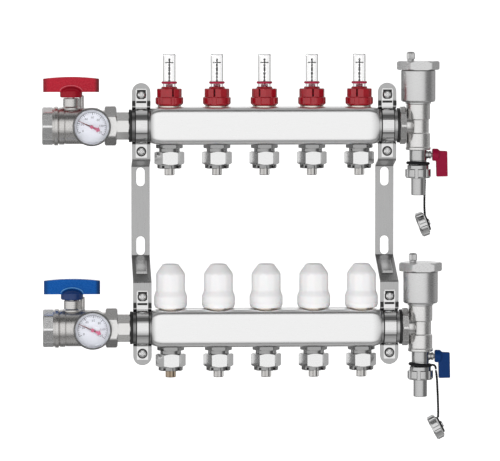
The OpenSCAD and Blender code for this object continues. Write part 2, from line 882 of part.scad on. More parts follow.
// Seat ring above a ball: a cone that touches the ball at the contact angle, round the bore
module ball_seat(ball, bore, rim, outer, back, contact) {
    function height(r) = (ball + run - r * sin(contact)) / cos(contact);
    rotate_extrude() polygon([[bore, height(bore)], [rim, height(rim)], [outer, height(rim)], [outer, back],
        [bore, back]]);
}

module seals_and_seats() color([0.1, 0.1, 0.1]) at_both() {
    at_left_end() {
        tube_x(-2.45, -0.05, 17.2, neck_bore + fit);
        tube_x(valve_face + 0.05, -20.85, 15.9, way_r + 0.4);
        translate([stem_x, 0, 0]) for (turn = [-90, 90]) rotate([0, turn, 0])
            ball_seat(ball_r, way_r, 13.4, cavity_r - run, seat_half - run, 49.5);
    }
    at_right_end() tube_x(0.05, 2.35, 18.2, neck_bore + fit);
    at_tee() {
        tube_z(57.85, 58.35, 17.6, vent_r - 2 + fit);
        tube_z(-51.15, -50.05, 11.1, 5.8);
        translate([0, 0, drain_z]) for (turn = [0, 180]) rotate([turn, 0, 0])
            ball_seat(drain_ball_r, 4.1, 5.4, drain_ball_r + 0.25, 5.55, 52.2);
    }
}

// ---- What is drawn ----

supply_bar();
return_bar();
wall_brackets();
clamp_straps();
clamp_linings();
clamp_screws();
valve_bodies();
union_nuts();
union_tails();
thermometer_cases();
thermometer_dials();
thermometer_lenses();
sight_glasses();
bar_cartridges();
outlet_nipples();
compression_nuts();
pipe_inserts();
seals_and_seats();
end_tees();
vent_bodies();
vent_lids();
drain_bodies();
drain_outlets();
strap_rings();
supply_handle();
return_handle();
supply_ball();
return_ball();
supply_needle();
return_needle();
for (number = [1:5]) {
    flow_collar_at(number);
    flow_float_at(number);
    valve_cap_at(number);
    valve_pin_at(number);
}
supply_drain_handle();
return_drain_handle();
supply_drain_ball();
return_drain_ball();
supply_vent_float();
return_vent_float();
supply_cap_strap();
return_cap_strap();
supply_drain_cap();
return_drain_cap();
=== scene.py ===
import json
import math
from math import cos, sin, tau, pi, radians, sqrt

import bmesh
import bpy
from mathutils import Matrix, Vector
from mathutils.geometry import delaunay_2d_cdt


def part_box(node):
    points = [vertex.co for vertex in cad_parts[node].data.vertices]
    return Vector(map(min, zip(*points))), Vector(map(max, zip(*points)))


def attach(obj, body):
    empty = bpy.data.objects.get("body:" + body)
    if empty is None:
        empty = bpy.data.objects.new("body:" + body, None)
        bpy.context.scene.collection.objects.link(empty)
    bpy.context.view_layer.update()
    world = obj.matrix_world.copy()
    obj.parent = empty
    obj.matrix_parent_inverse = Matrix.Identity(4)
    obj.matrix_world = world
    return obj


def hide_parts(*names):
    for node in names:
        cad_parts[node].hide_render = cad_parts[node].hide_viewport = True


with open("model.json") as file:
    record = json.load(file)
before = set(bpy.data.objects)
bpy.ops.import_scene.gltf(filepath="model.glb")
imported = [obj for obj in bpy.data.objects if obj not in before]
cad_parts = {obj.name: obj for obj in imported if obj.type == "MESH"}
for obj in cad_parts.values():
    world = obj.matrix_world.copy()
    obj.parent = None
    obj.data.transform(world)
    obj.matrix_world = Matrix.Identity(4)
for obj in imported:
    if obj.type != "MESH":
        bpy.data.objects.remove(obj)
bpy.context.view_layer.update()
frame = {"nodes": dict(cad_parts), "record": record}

MM = 0.001
scene = bpy.context.scene


def centre_of(node):
    low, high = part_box(node)
    return (low + high) / 2


SUPPLY = centre_of("supply_bar")
RETURN = centre_of("return_bar")
ROWS = {"supply": SUPPLY, "return": RETURN}
NECK_END = 140.0
TEE = NECK_END + 22.2
VENT = TEE - 8
STEM = -NECK_END - 63.0
GAUGE = -NECK_END - 42.0
CLAMP = 129.5
PITCH = 50.0
CIRCUITS = [-2, -1, 0, 1, 2]
DRAIN_Z = -31.2


def place(row, x=0.0, y=0.0, z=0.0):
    """Matrix that puts a millimetre shape at a point measured from a bar's middle."""
    return Matrix.Translation(ROWS[row] + Vector((x, y, z)) * MM) @ Matrix.Scale(MM, 4)


ALONG_X = Matrix.Rotation(pi / 2, 4, "Y")
TO_FRONT = Matrix.Rotation(pi / 2, 4, "X")


def on_both(shapes, x, z=0.0, turn=Matrix.Identity(4)):
    """The shapes at the same place on both rows, as parts of a piece."""
    return [(shape, place(row, x, 0, z) @ turn) for row in ROWS for shape in shapes]

# ---- Camera ----


def make_camera():
    aim = Vector((0.1135, -0.052, -0.0175))
    azimuth, elevation, distance, view_width = radians(-3.0), radians(3.8), 4.5, 0.5247
    back = Vector((sin(azimuth) * cos(elevation), -cos(azimuth) * cos(elevation), sin(elevation)))
    data = bpy.data.cameras.new("camera")
    data.sensor_width = 36.0
    data.lens = 36.0 * distance / view_width
    data.clip_start, data.clip_end = 0.05, 1000.0
    camera = bpy.data.objects.new("camera", data)
    camera.location = aim + back * distance
    camera.rotation_mode = "QUATERNION"
    camera.rotation_quaternion = (-back).to_track_quat("-Z", "Y")
    scene.collection.objects.link(camera)
    scene.camera = camera


make_camera()

# ---- Materials ----

EVEN = (1, 1, 1)


def node(tree, kind, **values):
    """New node; a value that is a socket is linked, any other sets an input or a property."""
    made = tree.nodes.new(kind)
    for key, value in values.items():
        if isinstance(value, bpy.types.NodeSocket):
            tree.links.new(value, made.inputs[key])
        elif key in made.inputs:
            made.inputs[key].default_value = value
        else:
            setattr(made, key, value)
    return made


def map_range(tree, source, low, high, to_low=0.0, to_high=1.0, ease="LINEAR"):
    limits = {"From Min": low, "From Max": high, "To Min": to_low, "To Max": to_high}
    return node(tree, "ShaderNodeMapRange", interpolation_type=ease, Value=source,
        **limits).outputs["Result"]


def principled(name, color, roughness, metallic=0.0, **sockets):
    mat = bpy.data.materials.new(name)
    mat.use_nodes = True
    sockets |= {"Base_Color": (*color, 1.0), "Roughness": roughness, "Metallic": metallic}
    for key, value in sockets.items():
        mat.node_tree.nodes["Principled BSDF"].inputs[key.replace("_", " ")].default_value = value
    return mat


def grain(mat, size, stretch, rough, tint=None, bump=0.0):
    """Noise on the surface: size in mm; rough and tint are the two ends of roughness and colour."""
    tree = mat.node_tree
    shader = tree.nodes["Principled BSDF"]
    spot = node(tree, "ShaderNodeTexCoord").outputs["Object"]
    spot = node(tree, "ShaderNodeMapping", Vector=spot, Scale=[1.0 / (size * MM * s) for s in stretch])
    noise = node(tree, "ShaderNodeTexNoise", Scale=1.0, Detail=4.0, Roughness=0.6,
        Vector=spot.outputs["Vector"])
    value = noise.outputs["Fac"]
    tree.links.new(map_range(tree, value, 0.3, 0.7, *rough), shader.inputs["Roughness"])
    if tint:
        mix = node(tree, "ShaderNodeValToRGB", Fac=value)
        for element, position, color in zip(mix.color_ramp.elements, (0.32, 0.68), tint):
            element.position = position
            element.color = (*color, 1.0)
        tree.links.new(mix.outputs["Color"], shader.inputs["Base Color"])
    if bump:
        lift = node(tree, "ShaderNodeBump", Strength=bump, Distance=0.2 * MM, Height=value)
        tree.links.new(lift.outputs["Normal"], shader.inputs["Normal"])
    return mat


def grey(value, warmth=0.0):
    return (value * (1 + warmth), value, value * (1 - warmth))


def metal(name, level, rough, size, stretch=EVEN, bump=0.0, warmth=0.0, spread=0.06):
    mat = principled(name, grey(level, warmth), rough[0], metallic=1.0)
    return grain(mat, size, stretch, rough, (grey(level - spread, warmth), grey(level + spread, warmth)),
        bump)


def plastic(name, color, rough, size, bump, spread=0.12, specular=0.5, **sockets):
    mat = principled(name, color, rough[0], Specular_IOR_Level=specular, **sockets)
    dark = tuple(c * (1 - spread) for c in color)
    light = tuple(min(1.0, c * (1 + spread)) for c in color)
    return grain(mat, size, EVEN, rough, (dark, light), bump)


# Level, roughness from and to, grain size in mm, its stretch, bump, warmth and the level's spread
METALS = {
    "bar_steel": (0.94, (0.26, 0.34), 0.5, (30, 1, 1), 0.02, 0.0, 0.02),
    "bracket_steel": (0.46, (0.26, 0.32), 0.8, (1, 1, 24), 0.015, 0.0, 0.02),
    "clamp_steel": (0.8, (0.07, 0.13), 0.25, (24, 1, 1), 0.05),
    "screw_steel": (0.72, (0.12, 0.22), 0.5, EVEN, 0.05),
    "valve_flats": (0.9, (0.2, 0.3), 0.45, EVEN, 0.3, 0.0, 0.07),
    "valve_nickel": (0.66, (0.2, 0.32), 0.45, EVEN, 0.35, 0.02, 0.09),
    "union_nickel": (0.8, (0.18, 0.3), 0.45, EVEN, 0.25, 0.01, 0.07),
    "gauge_case": (0.2, (0.22, 0.34), 0.6, EVEN, 0.04),
    "fitting_nickel": (0.86, (0.11, 0.19), 0.5, EVEN, 0.10, 0.0, 0.05),
    # Darker copy of the fitting nickel: painted shade on the nipples under the bars and on the compression
    # nuts' lower rings.
    "nipple_nickel": (0.36, (0.10, 0.18), 0.5, EVEN, 0.10, 0.0, 0.05),
    "insert_brass": (0.34, (0.14, 0.24), 0.3, EVEN, 0.06, 0.24),
    "insert_nickel": (0.62, (0.10, 0.18), 0.3, (1, 1, 0.3), 0.06, 0.02),
    "cartridge_brass": (0.8, (0.20, 0.32), 0.5, EVEN, 0.05, 0.10),
    "tee_nickel": (0.77, (0.18, 0.3), 0.45, EVEN, 0.30, 0.01, 0.07),
    "vent_nickel": (0.7, (0.24, 0.36), 0.3, (8, 8, 0.6), 0.12),
    "drain_nickel": (0.56, (0.12, 0.22), 0.45, EVEN, 0.10),
    "cap_nickel": (0.72, (0.12, 0.22), 0.5, EVEN, 0.15),
    "ball_chrome": (0.84, (0.04, 0.10), 1.0),
    "pin_steel": (0.72, (0.12, 0.24), 0.3, (1, 1, 0.3), 0.04),
}
RUBBER = ((0.012, 0.012, 0.012), (0.45, 0.6), 0.5, 0.15, 0.4)
# Colour, roughness from and to, grain size in mm, bump, the colour's spread and specular
PLASTICS = {
    "lining_rubber": RUBBER,
    "seal_rubber": RUBBER,
    "strap_black": ((0.010, 0.010, 0.011), (0.38, 0.55), 0.4, 0.2, 0.4, 0.1),
    "handle_red": ((0.36, 0.001, 0.016), (0.22, 0.32), 0.8, 0.04, 0.12, 0.3),
    "handle_blue": ((0.001, 0.070, 0.29), (0.22, 0.32), 0.8, 0.04, 0.12, 0.12),
    # Hub colours: darker copies of the handle colours, painted shade on the dome over the hub.
    "hub_red": ((0.25, 0.001, 0.010), (0.18, 0.28), 0.8, 0.03, 0.12, 0.25),
    "hub_blue": ((0.001, 0.022, 0.11), (0.18, 0.28), 0.8, 0.03),
    # Rim colours: lighter copies of the handle colours, a painted highlight along the thin lip over the dome.
    "rim_red": ((0.60, 0.10, 0.13), (0.2, 0.3), 0.5, 0.0),
    "rim_blue": ((0.10, 0.30, 0.55), (0.2, 0.3), 0.5, 0.0),
    "collar_red": ((0.27, 0.001, 0.008), (0.16, 0.26), 0.6, 0.05, 0.12, 0.7),
    # Near-black red for the strips in the collar grooves: painted shade.
    "groove_red": ((0.045, 0.0, 0.002), (0.4, 0.5), 0.5, 0.0, 0.12, 0.1),
    "lever_red": ((0.21, 0.001, 0.024), (0.28, 0.40), 0.6, 0.05, 0.12, 0.15),
    "lever_blue": ((0.001, 0.024, 0.11), (0.28, 0.40), 0.6, 0.05, 0.12, 0.12),
    "cap_white": ((0.72, 0.715, 0.72), (0.36, 0.50), 1.2, 0.04, 0.015, 0.3),
    "float_black": ((0.012, 0.012, 0.013), (0.35, 0.5), 0.5, 0.05, 0.3),
    "float_plastic": ((0.7, 0.7, 0.64), (0.4, 0.5), 0.5, 0.03, 0.03),
    "gauge_dial": ((0.86, 0.86, 0.90), (0.45, 0.55), 2.0, 0.0, 0.015),
    "needle_red": ((0.18, 0.02, 0.03), (0.4, 0.5), 0.5, 0.0),
    "tail_red": ((0.62, 0.14, 0.24), (0.4, 0.5), 0.5, 0.0),
    "print_grey": ((0.09, 0.08, 0.11), (0.5, 0.6), 0.5, 0.0, 0.2),
    # Pink for the clear flange under the glass and the core inside it: a painted reflection of the red
    # collar.
    "flange_pink": ((0.42, 0.02, 0.06), (0.10, 0.2), 0.5, 0.0, 0.1),
}
MORE = {
    "cap_white": {"Subsurface_Weight": 0.1, "Subsurface_Scale": 0.003},
    "flange_pink": {"Transmission_Weight": 0.3, "IOR": 1.3},
}
LOOKS = {name: metal(name, *values) for name, values in METALS.items()}
for name, values in PLASTICS.items():
    LOOKS[name] = plastic(name, *values, **MORE.get(name, {}))
LOOKS["sight_glass"] = grain(principled("sight_glass", (1.0, 1.0, 1.0), 0.0, Transmission_Weight=1.0,
    IOR=1.42), 3.0, EVEN, (0.0, 0.02))
LOOKS["gauge_lens"] = grain(principled("gauge_lens", (0.97, 0.98, 1.0), 0.03, Transmission_Weight=1.0,
    IOR=1.18), 3.0, EVEN, (0.0, 0.04))

# ---- Shapes: each is (vertices, faces), in millimetres ----


def rounded(path, radius=0.4, steps=3):
    """Rounds the corners of an open path of (r, z) points; a third number is the point's own radius."""
    out = [Vector(path[0][:2])]
    for before, here, after in zip(path, path[1:], path[2:]):
        own = here[2] if len(here) > 2 else radius
        corner = Vector(here[:2])
        a, b = Vector(before[:2]) - corner, Vector(after[:2]) - corner
        if own == 0 or a.length < 1e-6 or b.length < 1e-6 or a.angle(b) > 3.1:
            out.append(corner)
            continue
        cut = min(own / math.tan(a.angle(b) / 2), 0.49 * a.length, 0.49 * b.length)
        start, end = corner + a.normalized() * cut, corner + b.normalized() * cut
        for i in range(steps + 1):
            t = i / steps
            out.append((1 - t) ** 2 * start + 2 * t * (1 - t) * corner + t * t * end)
    out.append(Vector(path[-1][:2]))
    return out


def dense(path, step):
    out = [path[0]]
    for a, b in zip(path, path[1:]):
        parts = max(1, math.ceil((b - a).length / step))
        out += [a.lerp(b, i / parts) for i in range(1, parts + 1)]
    return out


def grid(rings, joins, steps):
    """Faces between rings of points, each joined to the next; with joins = rings the last meets the first."""
    faces = []
    for j in range(joins):
        here, there = j * steps, (j + 1) % rings * steps
        faces += [(here + k, here + (k + 1) % steps, there + (k + 1) % steps, there + k)
            for k in range(steps)]
    return faces


def turned(path, steps, shape=None):
    """Surface of revolution about Z; shape(angle, z, r) may change the radius."""
    verts = []
    for r, z in path:
        for k in range(steps):
            a = tau * (k + 0.5) / steps
            q = shape(a, z, r) if shape else r
            verts.append((q * cos(a), q * sin(a), z))
    return verts, grid(len(path), len(path) - 1, steps)


def share(value):
    """The value, held between 0 and 1."""
    return max(0.0, min(1.0, value))


def off_angle(a, count, turn):
    """Angle from the nearest of count even directions; turn is one direction, in degrees."""
    sector = tau / count
    return (a - radians(turn) + sector / 2) % sector - sector / 2


def flats(count, apothem, turn=0.0):
    """Radius limit of a regular polygon; turn is the angle of one flat's middle, in degrees."""
    return lambda a, z, r: min(r, apothem / cos(off_angle(a, count, turn)))


def scallop(count, low_r, turn, half_width):
    """Ring of blocks round a nut: full radius on a block, low_r between them."""

    def limit(a, z, r):
        if r <= low_r:
            return r
        return low_r + (r - low_r) * share((half_width - abs(off_angle(a, count, turn)) * r) / 0.5 + 0.5)
    return limit


def milled(path, steps, radius, step, shape):
    """Rounded path turned in fine steps, so that shape(angle, z, r) can cut into it."""
    return turned(dense(rounded(path, radius), step), steps, shape)


def nut(path, count, corner_r, turn=0.0, steps=120, step=1.2, radius=0.4):
    """Polygon bar turned on a lathe: a path of revolution cut by flats, with corners at corner_r."""
    return milled(path, steps, radius, step, flats(count, corner_r * cos(pi / count), turn))


def lathe(path, steps, radius):
    """Surface of revolution of a path whose corners are rounded."""
    return turned(rounded(path, radius), steps)


def slab(outline, low, high):
    """Prism of an X-Z outline between two Y values."""
    count = len(outline)
    verts = [(x, low, z) for x, z in outline] + [(x, high, z) for x, z in outline]
    faces = [tuple(range(count)), tuple(range(2 * count - 1, count - 1, -1))]
    faces += [(i, i + count, (i + 1) % count + count, (i + 1) % count) for i in range(count)]
    return verts, faces


def block(low, high):
    x0, y0, z0 = low
    x1, y1, z1 = high
    return slab([(x0, z0), (x1, z0), (x1, z1), (x0, z1)], y0, y1)


def tube(line, radius, sides=12):
    """Round tube along a list of points; radius is a number or a function of the distance run."""
    verts, run = [], 0.0
    side = Vector((0, 1, 0)) if abs((line[1] - line[0]).normalized()[1]) < 0.9 else Vector((1, 0, 0))
    for i, here in enumerate(line):
        if i:
            run += (here - line[i - 1]).length
        ahead = (line[min(i + 1, len(line) - 1)] - line[max(i - 1, 0)]).normalized()
        up = ahead.cross(side).normalized()
        side = up.cross(ahead).normalized()
        r = radius(run) if callable(radius) else radius
        for k in range(sides):
            a = tau * k / sides
            verts.append(here + r * (cos(a) * side + sin(a) * up))
    ends = [tuple(range(sides)), tuple(range(len(verts) - 1, len(verts) - sides - 1, -1))]
    return verts, grid(len(line), len(line) - 1, sides) + ends


def smooth_line(points, steps=10):
    """Smooth line through all the points."""
    out = []
    for i in range(len(points) - 1):
        p0, p1 = points[max(i - 1, 0)], points[i]
        p2, p3 = points[i + 1], points[min(i + 2, len(points) - 1)]
        for k in range(steps):
            t = k / steps
            out.append(0.5 * (2 * p1 + (p2 - p0) * t + (2 * p0 - 5 * p1 + 4 * p2 - p3) * t * t
                + (3 * p1 - p0 - 3 * p2 + p3) * t ** 3))
    return out + [points[-1]]


def finish_mesh(bm, name, materials, smooth):
    """Makes the scene's object of a bmesh; edges sharper than smooth degrees stay sharp."""
    bmesh.ops.recalc_face_normals(bm, faces=bm.faces)
    mesh = bpy.data.meshes.new(name)
    bm.to_mesh(mesh)
    bm.free()
    for material in materials:
        mesh.materials.append(LOOKS[material])
    mesh.polygons.foreach_set("use_smooth", [True] * len(mesh.polygons))
    mesh.set_sharp_from_angle(angle=radians(smooth))
    obj = bpy.data.objects.new(name, mesh)
    scene.collection.objects.link(obj)
    return obj


SLOT_OF = {part["node"]: part["material_slot"] for part in frame["record"]["subparts"]}
BODY_OF = {n: body for body, nodes in frame["record"]["behaviour"]["bodies"].items() for n in nodes}


def stand_in(obj, node, bevel):
    """Puts an object in a CAD node's place, with its edges rounded by bevel mm."""
    if bevel:
        edge = obj.modifiers.new("edges", "BEVEL")
        edge.width, edge.segments, edge.limit_method = bevel * MM, 3, "ANGLE"
        edge.angle_limit = radians(36)
        edge.harden_normals = True
    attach(obj, BODY_OF[node])
    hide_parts(node)


def add_shape(bm, shape, matrix):
    made = [bm.verts.new(matrix @ Vector(v)) for v in shape[0]]
    return made, [bm.faces.new([made[i] for i in face]) for face in shape[1]]


def piece(name, parts, materials, node, smooth=38, bevel=0.0):
    """Object made of (shape, matrix[, material index]) parts, in a CAD node's place."""
    materials = [materials] if isinstance(materials, str) else materials
    bm = bmesh.new()
    for shape, matrix, *index in parts:
        made, faces = add_shape(bm, shape, matrix)
        for face in faces:
            face.material_index = index[0] if index else 0
        bmesh.ops.remove_doubles(bm, verts=made, dist=1e-7)
    obj = finish_mesh(bm, name, materials, smooth)
    stand_in(obj, node, bevel)
    return obj


def carried(name, bevel):
    """A copy of a CAD node with joined faces, softened edges and its own shading."""
    bm = bmesh.new()
    bm.from_mesh(frame["nodes"][name].data)
    bmesh.ops.remove_doubles(bm, verts=bm.verts, dist=1e-6)
    bmesh.ops.dissolve_limit(bm, angle_limit=radians(0.6), verts=bm.verts, edges=bm.edges)
    stand_in(finish_mesh(bm, name + "_detail", [SLOT_OF[name]], 35), name, bevel)


# ---- Retaining straps of the drain caps, each a free cord from its band to its cap ----

STRAP_R = 0.0011
# Each strap's step towards the wall, then its way from pivot to cap as (x, z) from the tee, in metres
STRAP_ROUTES = {
    "supply": (0.0124, [(0.0085, -0.0564), (0.0084, -0.062), (0.0082, -0.068), (0.0081, -0.074),
        (0.008, -0.080), (0.008, -0.086), (0.0082, -0.091), (0.0086, -0.0955)]),
    "return": (0.0, [(0.0163, -0.0456), (0.017, -0.050), (0.0176, -0.0555), (0.0179, -0.061),
        (0.0182, -0.067), (0.0185, -0.073), (0.0187, -0.079), (0.0189, -0.085), (0.019, -0.091),
        (0.0189, -0.096)]),
}
# Each cap's place from the tee's axis, in mm, and how far it leans, in degrees
CAP_PLACES = {"supply": (6.1, 12.4, -105.2, 21), "return": (16.5, 0, -106, 28)}


def drain_cap(row):
    """Screw cap with blocks round its rim, the strap's eyelet on its back and the button that holds it."""
    x, y, z, tilt = CAP_PLACES[row]
    at = place(row, TEE + x, y, z) @ Matrix.Rotation(radians(90 - tilt), 4, "Y")
    cup = milled([(0, 2.6), (11.2, 2.6, 0), (11.2, -4.4, 0.2), (12.3, -4.4, 0.2), (12.4, -3.7, 0.2),
        (13.2, -3.4, 0.3), (13.2, 3.2, 0.4), (12.3, 3.7, 0.3), (11.0, 4.6, 0.5), (0, 4.6)], 144, 0.2, 0.9,
        scallop(8, 12.3, 22.5, 3.2))
    eyelet = lathe([(0, 4.5), (8.3, 4.5, 0.2), (8.9, 4.9, 0.3), (8.9, 6.0, 0.5), (8.2, 6.5, 0.4),
        (3.6, 6.5)], 48, 0.3)
    button = lathe([(3.2, 6.1), (3.6, 6.2, 0.1), (3.6, 7.6, 0.4), (2.8, 8.2, 0.3), (0, 8.2)], 32, 0.3)
    return piece(f"{row}_cap_cast", [(cup, at, 0), (eyelet, at, 1), (button, at, 0)],
        ["cap_nickel", "strap_black"], f"{row}_drain_cap")


def strap(row):
    """Beaded strap: a tube along the route whose radius swells at each bead."""
    shift, route = STRAP_ROUTES[row]
    base = ROWS[row] + Vector((TEE * MM, shift, 0))
    points = [base + Vector((x, 0, z)) for x, z in route]
    line = smooth_line(points, 12)
    bead = 0.0026

    def width(run):
        swell = (0.5 + 0.5 * cos(tau * run / bead)) ** 2
        return STRAP_R * min(1.0, 0.5 + run / 0.004) * (0.99 + 0.14 * swell)

    shape = tube(line, width)
    obj = piece(f"{row}_strap_cord", [(shape, Matrix.Identity(4))], "strap_black", f"{row}_cap_strap",
        smooth=60)
    drain_cap(row)


for row in ROWS:
    strap(row)

# ---- Bars ----


def bar_limit(a, half_w, half_h, corner):
    """Radius of a rounded rectangle in the direction a, measured from its middle."""
    c, s = abs(cos(a)), abs(sin(a))
    low, high = 0.0, half_w + half_h
    for _ in range(40):
        mid = (low + high) / 2
        dx, dy = max(0.0, mid * c - (half_w - corner)), max(0.0, mid * s - (half_h - corner))
        if sqrt(dx * dx + dy * dy) < corner:
            low = mid
        else:
            high = mid
    return low


def bar_shape():
    """Square tube that necks down to a round at both ends: rings of (x, share of the full outline)."""
    steps = 160
    half_w, half_h, corner, neck = 18.0, 19.7, 7.0, 17.0
    swell_from, swell_to = 107.0, 121.5
    angles = [tau * (k + 0.5) / steps for k in range(steps)]
    outline = [bar_limit(a, half_w, half_h, corner) for a in angles]
    rings = []
    for i in range(19):
        u = sin(pi / 2 * i / 18)
        fullness = 0.06 + 0.94 * sqrt(max(0.0, 1 - u * u))
        rings.append((swell_from + (swell_to - 0.8 - swell_from) * u, fullness))
    rings += [(swell_to - 0.5, 0.03), (swell_to, 0.008), (swell_to + 0.8, 0.0), (NECK_END - 0.5, 0.0)]
    verts = []
    stations = [(-NECK_END, -1)] + [(-x, m) for x, m in reversed(rings)] + rings + [(NECK_END, -1)]
    for x, m in stations:
        for a, full in zip(angles, outline):
            r = neck + (full - neck) * m if m >= 0 else neck - 0.5
            verts.append((x, r * cos(a), r * sin(a)))
    inner = 13.5
    for x in (NECK_END, 95.0, -95.0, -NECK_END):
        verts += [(x, inner * cos(a), inner * sin(a)) for a in angles]
    count = len(stations) + 4
    return verts, grid(count, count, steps)


def shade_ends(mat, middle, clear, full, left, right):
    """Paints shade into a colour towards both ends along X: untouched at clear, times left or right at full,
    in mm.
    """
    tree = mat.node_tree
    shader = tree.nodes["Principled BSDF"]
    colour = shader.inputs["Base Color"].links[0].from_socket
    spot = node(tree, "ShaderNodeTexCoord").outputs["Object"]
    split = node(tree, "ShaderNodeSeparateXYZ", Vector=spot)
    for side, level in ((-1, left), (1, right)):
        start, stop = middle + side * clear * MM, middle + side * full * MM
        end_shade_factor = map_range(tree, split.outputs["X"], start, stop, 1.0, level, "SMOOTHSTEP")
        colour = node(tree, "ShaderNodeVectorMath", operation="SCALE", Vector=colour,
            Scale=end_shade_factor).outputs["Vector"]
    tree.links.new(colour, shader.inputs["Base Color"])


def drilled(obj, shapes):
    """Cuts round bores through a piece, so that what moves in them runs free."""
    bm = bmesh.new()
    for shape, matrix in shapes:
        add_shape(bm, shape, matrix)
    tool = finish_mesh(bm, "bores", ["bar_steel"], 38)
    cut = obj.modifiers.new("bores", "BOOLEAN")
    cut.operation, cut.solver, cut.object = "DIFFERENCE", "EXACT", tool
    bpy.context.view_layer.update()
    done = bpy.data.meshes.new_from_object(obj.evaluated_get(bpy.context.evaluated_depsgraph_get()))
    obj.modifiers.remove(cut)
    obj.data = done
    bpy.data.objects.remove(tool)


# Painted shade on the bars' rounded ends, deeper at the left end than at the right.
shade_ends(LOOKS["bar_steel"], SUPPLY.x, 114.5, 123.0, 0.30, 1.0)
shade_ends(LOOKS["bar_steel"], SUPPLY.x, 109.5, 122.5, 1.0, 0.62)
BAR = bar_shape()
BORE_R, BORE_END = 8.9, 24
BORE = turned([(0, -BORE_END), (BORE_R, -BORE_END), (BORE_R, BORE_END), (0, BORE_END)], 48)
for row in ROWS:
    shell = piece(f"{row}_bar_shell", [(BAR, place(row))], "bar_steel", f"{row}_bar")
    drilled(shell, [(BORE, place(row, c * PITCH)) for c in CIRCUITS])

# ---- Brackets and clamps ----

FOLD_R = 2.2
SCREW_HEIGHTS = (32.5, -27)
SCREW_HOLE = (5.2, 5.21)


def strip_shape(path, width, thick, end_r, holes):
    """Folded sheet metal: a flat strip mapped onto a (y, z) path. Holes are loops of (x, distance)."""
    marks = [0.0]
    for a, b in zip(path, path[1:]):
        marks.append(marks[-1] + (b - a).length)
    total = marks[-1]
    half = width / 2

    def end_loop(at, sign):
        angles = [pi / 2 * i / 10 for i in range(11)]
        left = [(-(half - end_r) - end_r * cos(a), at + sign * (end_r - end_r * sin(a))) for a in angles]
        return left + [(half - end_r + end_r * sin(a), at + sign * (end_r - end_r * cos(a)))
            for a in angles]

    loop = end_loop(0.0, 1) + list(reversed(end_loop(total, -1)))
    loops = [loop] + holes
    points, edges = [], []
    for ring in loops:
        first = len(points)
        points += [Vector(p) for p in ring]
        edges += [(first + i, first + (i + 1) % len(ring)) for i in range(len(ring))]
    for mark in marks[1:-1]:
        if end_r < mark < total - end_r:
            first = len(points)
            points += [Vector((-half, mark)), Vector((half, mark))]
            edges.append((first, first + 1))
    flat = delaunay_2d_cdt(points, edges, [], 0, 1e-5)
    spots, triangles = flat[0], flat[2]

    def inside(x, y, ring):
        odd = False
        for (x0, y0), (x1, y1) in zip(ring, ring[1:] + ring[:1]):
            if (y0 > y) != (y1 > y) and x < x0 + (y - y0) * (x1 - x0) / (y1 - y0):
                odd = not odd
        return odd

    kept = []
    for t in triangles:
        x, y = sum(spots[i][0] for i in t) / 3, sum(spots[i][1] for i in t) / 3
        if inside(x, y, loop) and not any(inside(x, y, ring) for ring in holes):
            kept.append(tuple(t))

    def on_path(run, off):
        i = 0
        while i < len(marks) - 2 and marks[i + 1] < run:
            i += 1
        t = (run - marks[i]) / (marks[i + 1] - marks[i])

        def normal(k):
            k0, k1 = max(k - 1, 0), min(k + 1, len(path) - 1)
            d = (path[k1] - path[k0]).normalized()
            return Vector((d[1], -d[0]))
        n = normal(i).lerp(normal(i + 1), t).normalized()
        return path[i].lerp(path[i + 1], t) + n * off

    verts = [(x, *on_path(run, off)) for off in (thick / 2, -thick / 2) for x, run in spots]
    count = len(spots)
    faces = kept + [tuple(i + count for i in reversed(t)) for t in kept]
    rim = dict.fromkeys((a, b) for t in kept for a, b in zip(t, t[1:] + t[:1]))
    return verts, faces + [(b, a, a + count, b + count) for a, b in rim if (b, a) not in rim]


def arc_points(centre, r, start, end, steps):
    return [Vector((centre[0] + r * cos(a), centre[1] + r * sin(a)))
        for a in (radians(start + (end - start) * i / steps) for i in range(steps + 1))]


def run_at(path, y, z):
    """Distance along the path to its nearest point."""
    best, found, run = 1e9, 0.0, 0.0
    for a, b in zip(path, path[1:]):
        d = b - a
        t = share((Vector((y, z)) - a).dot(d) / d.length_squared)
        gap = (a + d * t - Vector((y, z))).length
        if gap < best:
            best, found = gap, run + d.length * t
        run += d.length
    return found


def slot_loop(run, width, length, steps=8):
    """Outline of a slot with round ends; run is how far along the strip its middle is."""
    r, straight = width / 2, (length - width) / 2
    angles = [pi * i / steps for i in range(steps + 1)]
    top = [(r * cos(a), run + straight + r * sin(a)) for a in angles]
    return top + [(r * cos(pi + a), run - straight + r * sin(pi + a)) for a in angles]


def bracket_shape():
    """Wall strip with a trough round each bar; up and low are the bars' middles as (y, z)."""
    up, low = Vector((-36.0, 92.0)), Vector((-68.0, -118.0))
    corners = [up + Vector((1, 44.9))] + arc_points(up, 19, 87, -87, 24) + [up + Vector((1, -36)),
        Vector((-1, 48.5)), Vector((-1, -47.5)), low + Vector((1, 47.5))] + arc_points(low, 19, 87, -87,
        24) + [low + Vector((1, -39.4))]
    path = rounded([tuple(p) for p in corners], FOLD_R, 5)
    holes = [slot_loop(run_at(path, -1, side * 36.5), 9, 20) for side in (1, -1)]
    for row in (up, low):
        for screw in SCREW_HEIGHTS:
            holes.append(slot_loop(run_at(path, row[0] + 1, row[1] + screw), *SCREW_HOLE))
    return strip_shape(path, 19.4, 2.0, 9.7, holes)


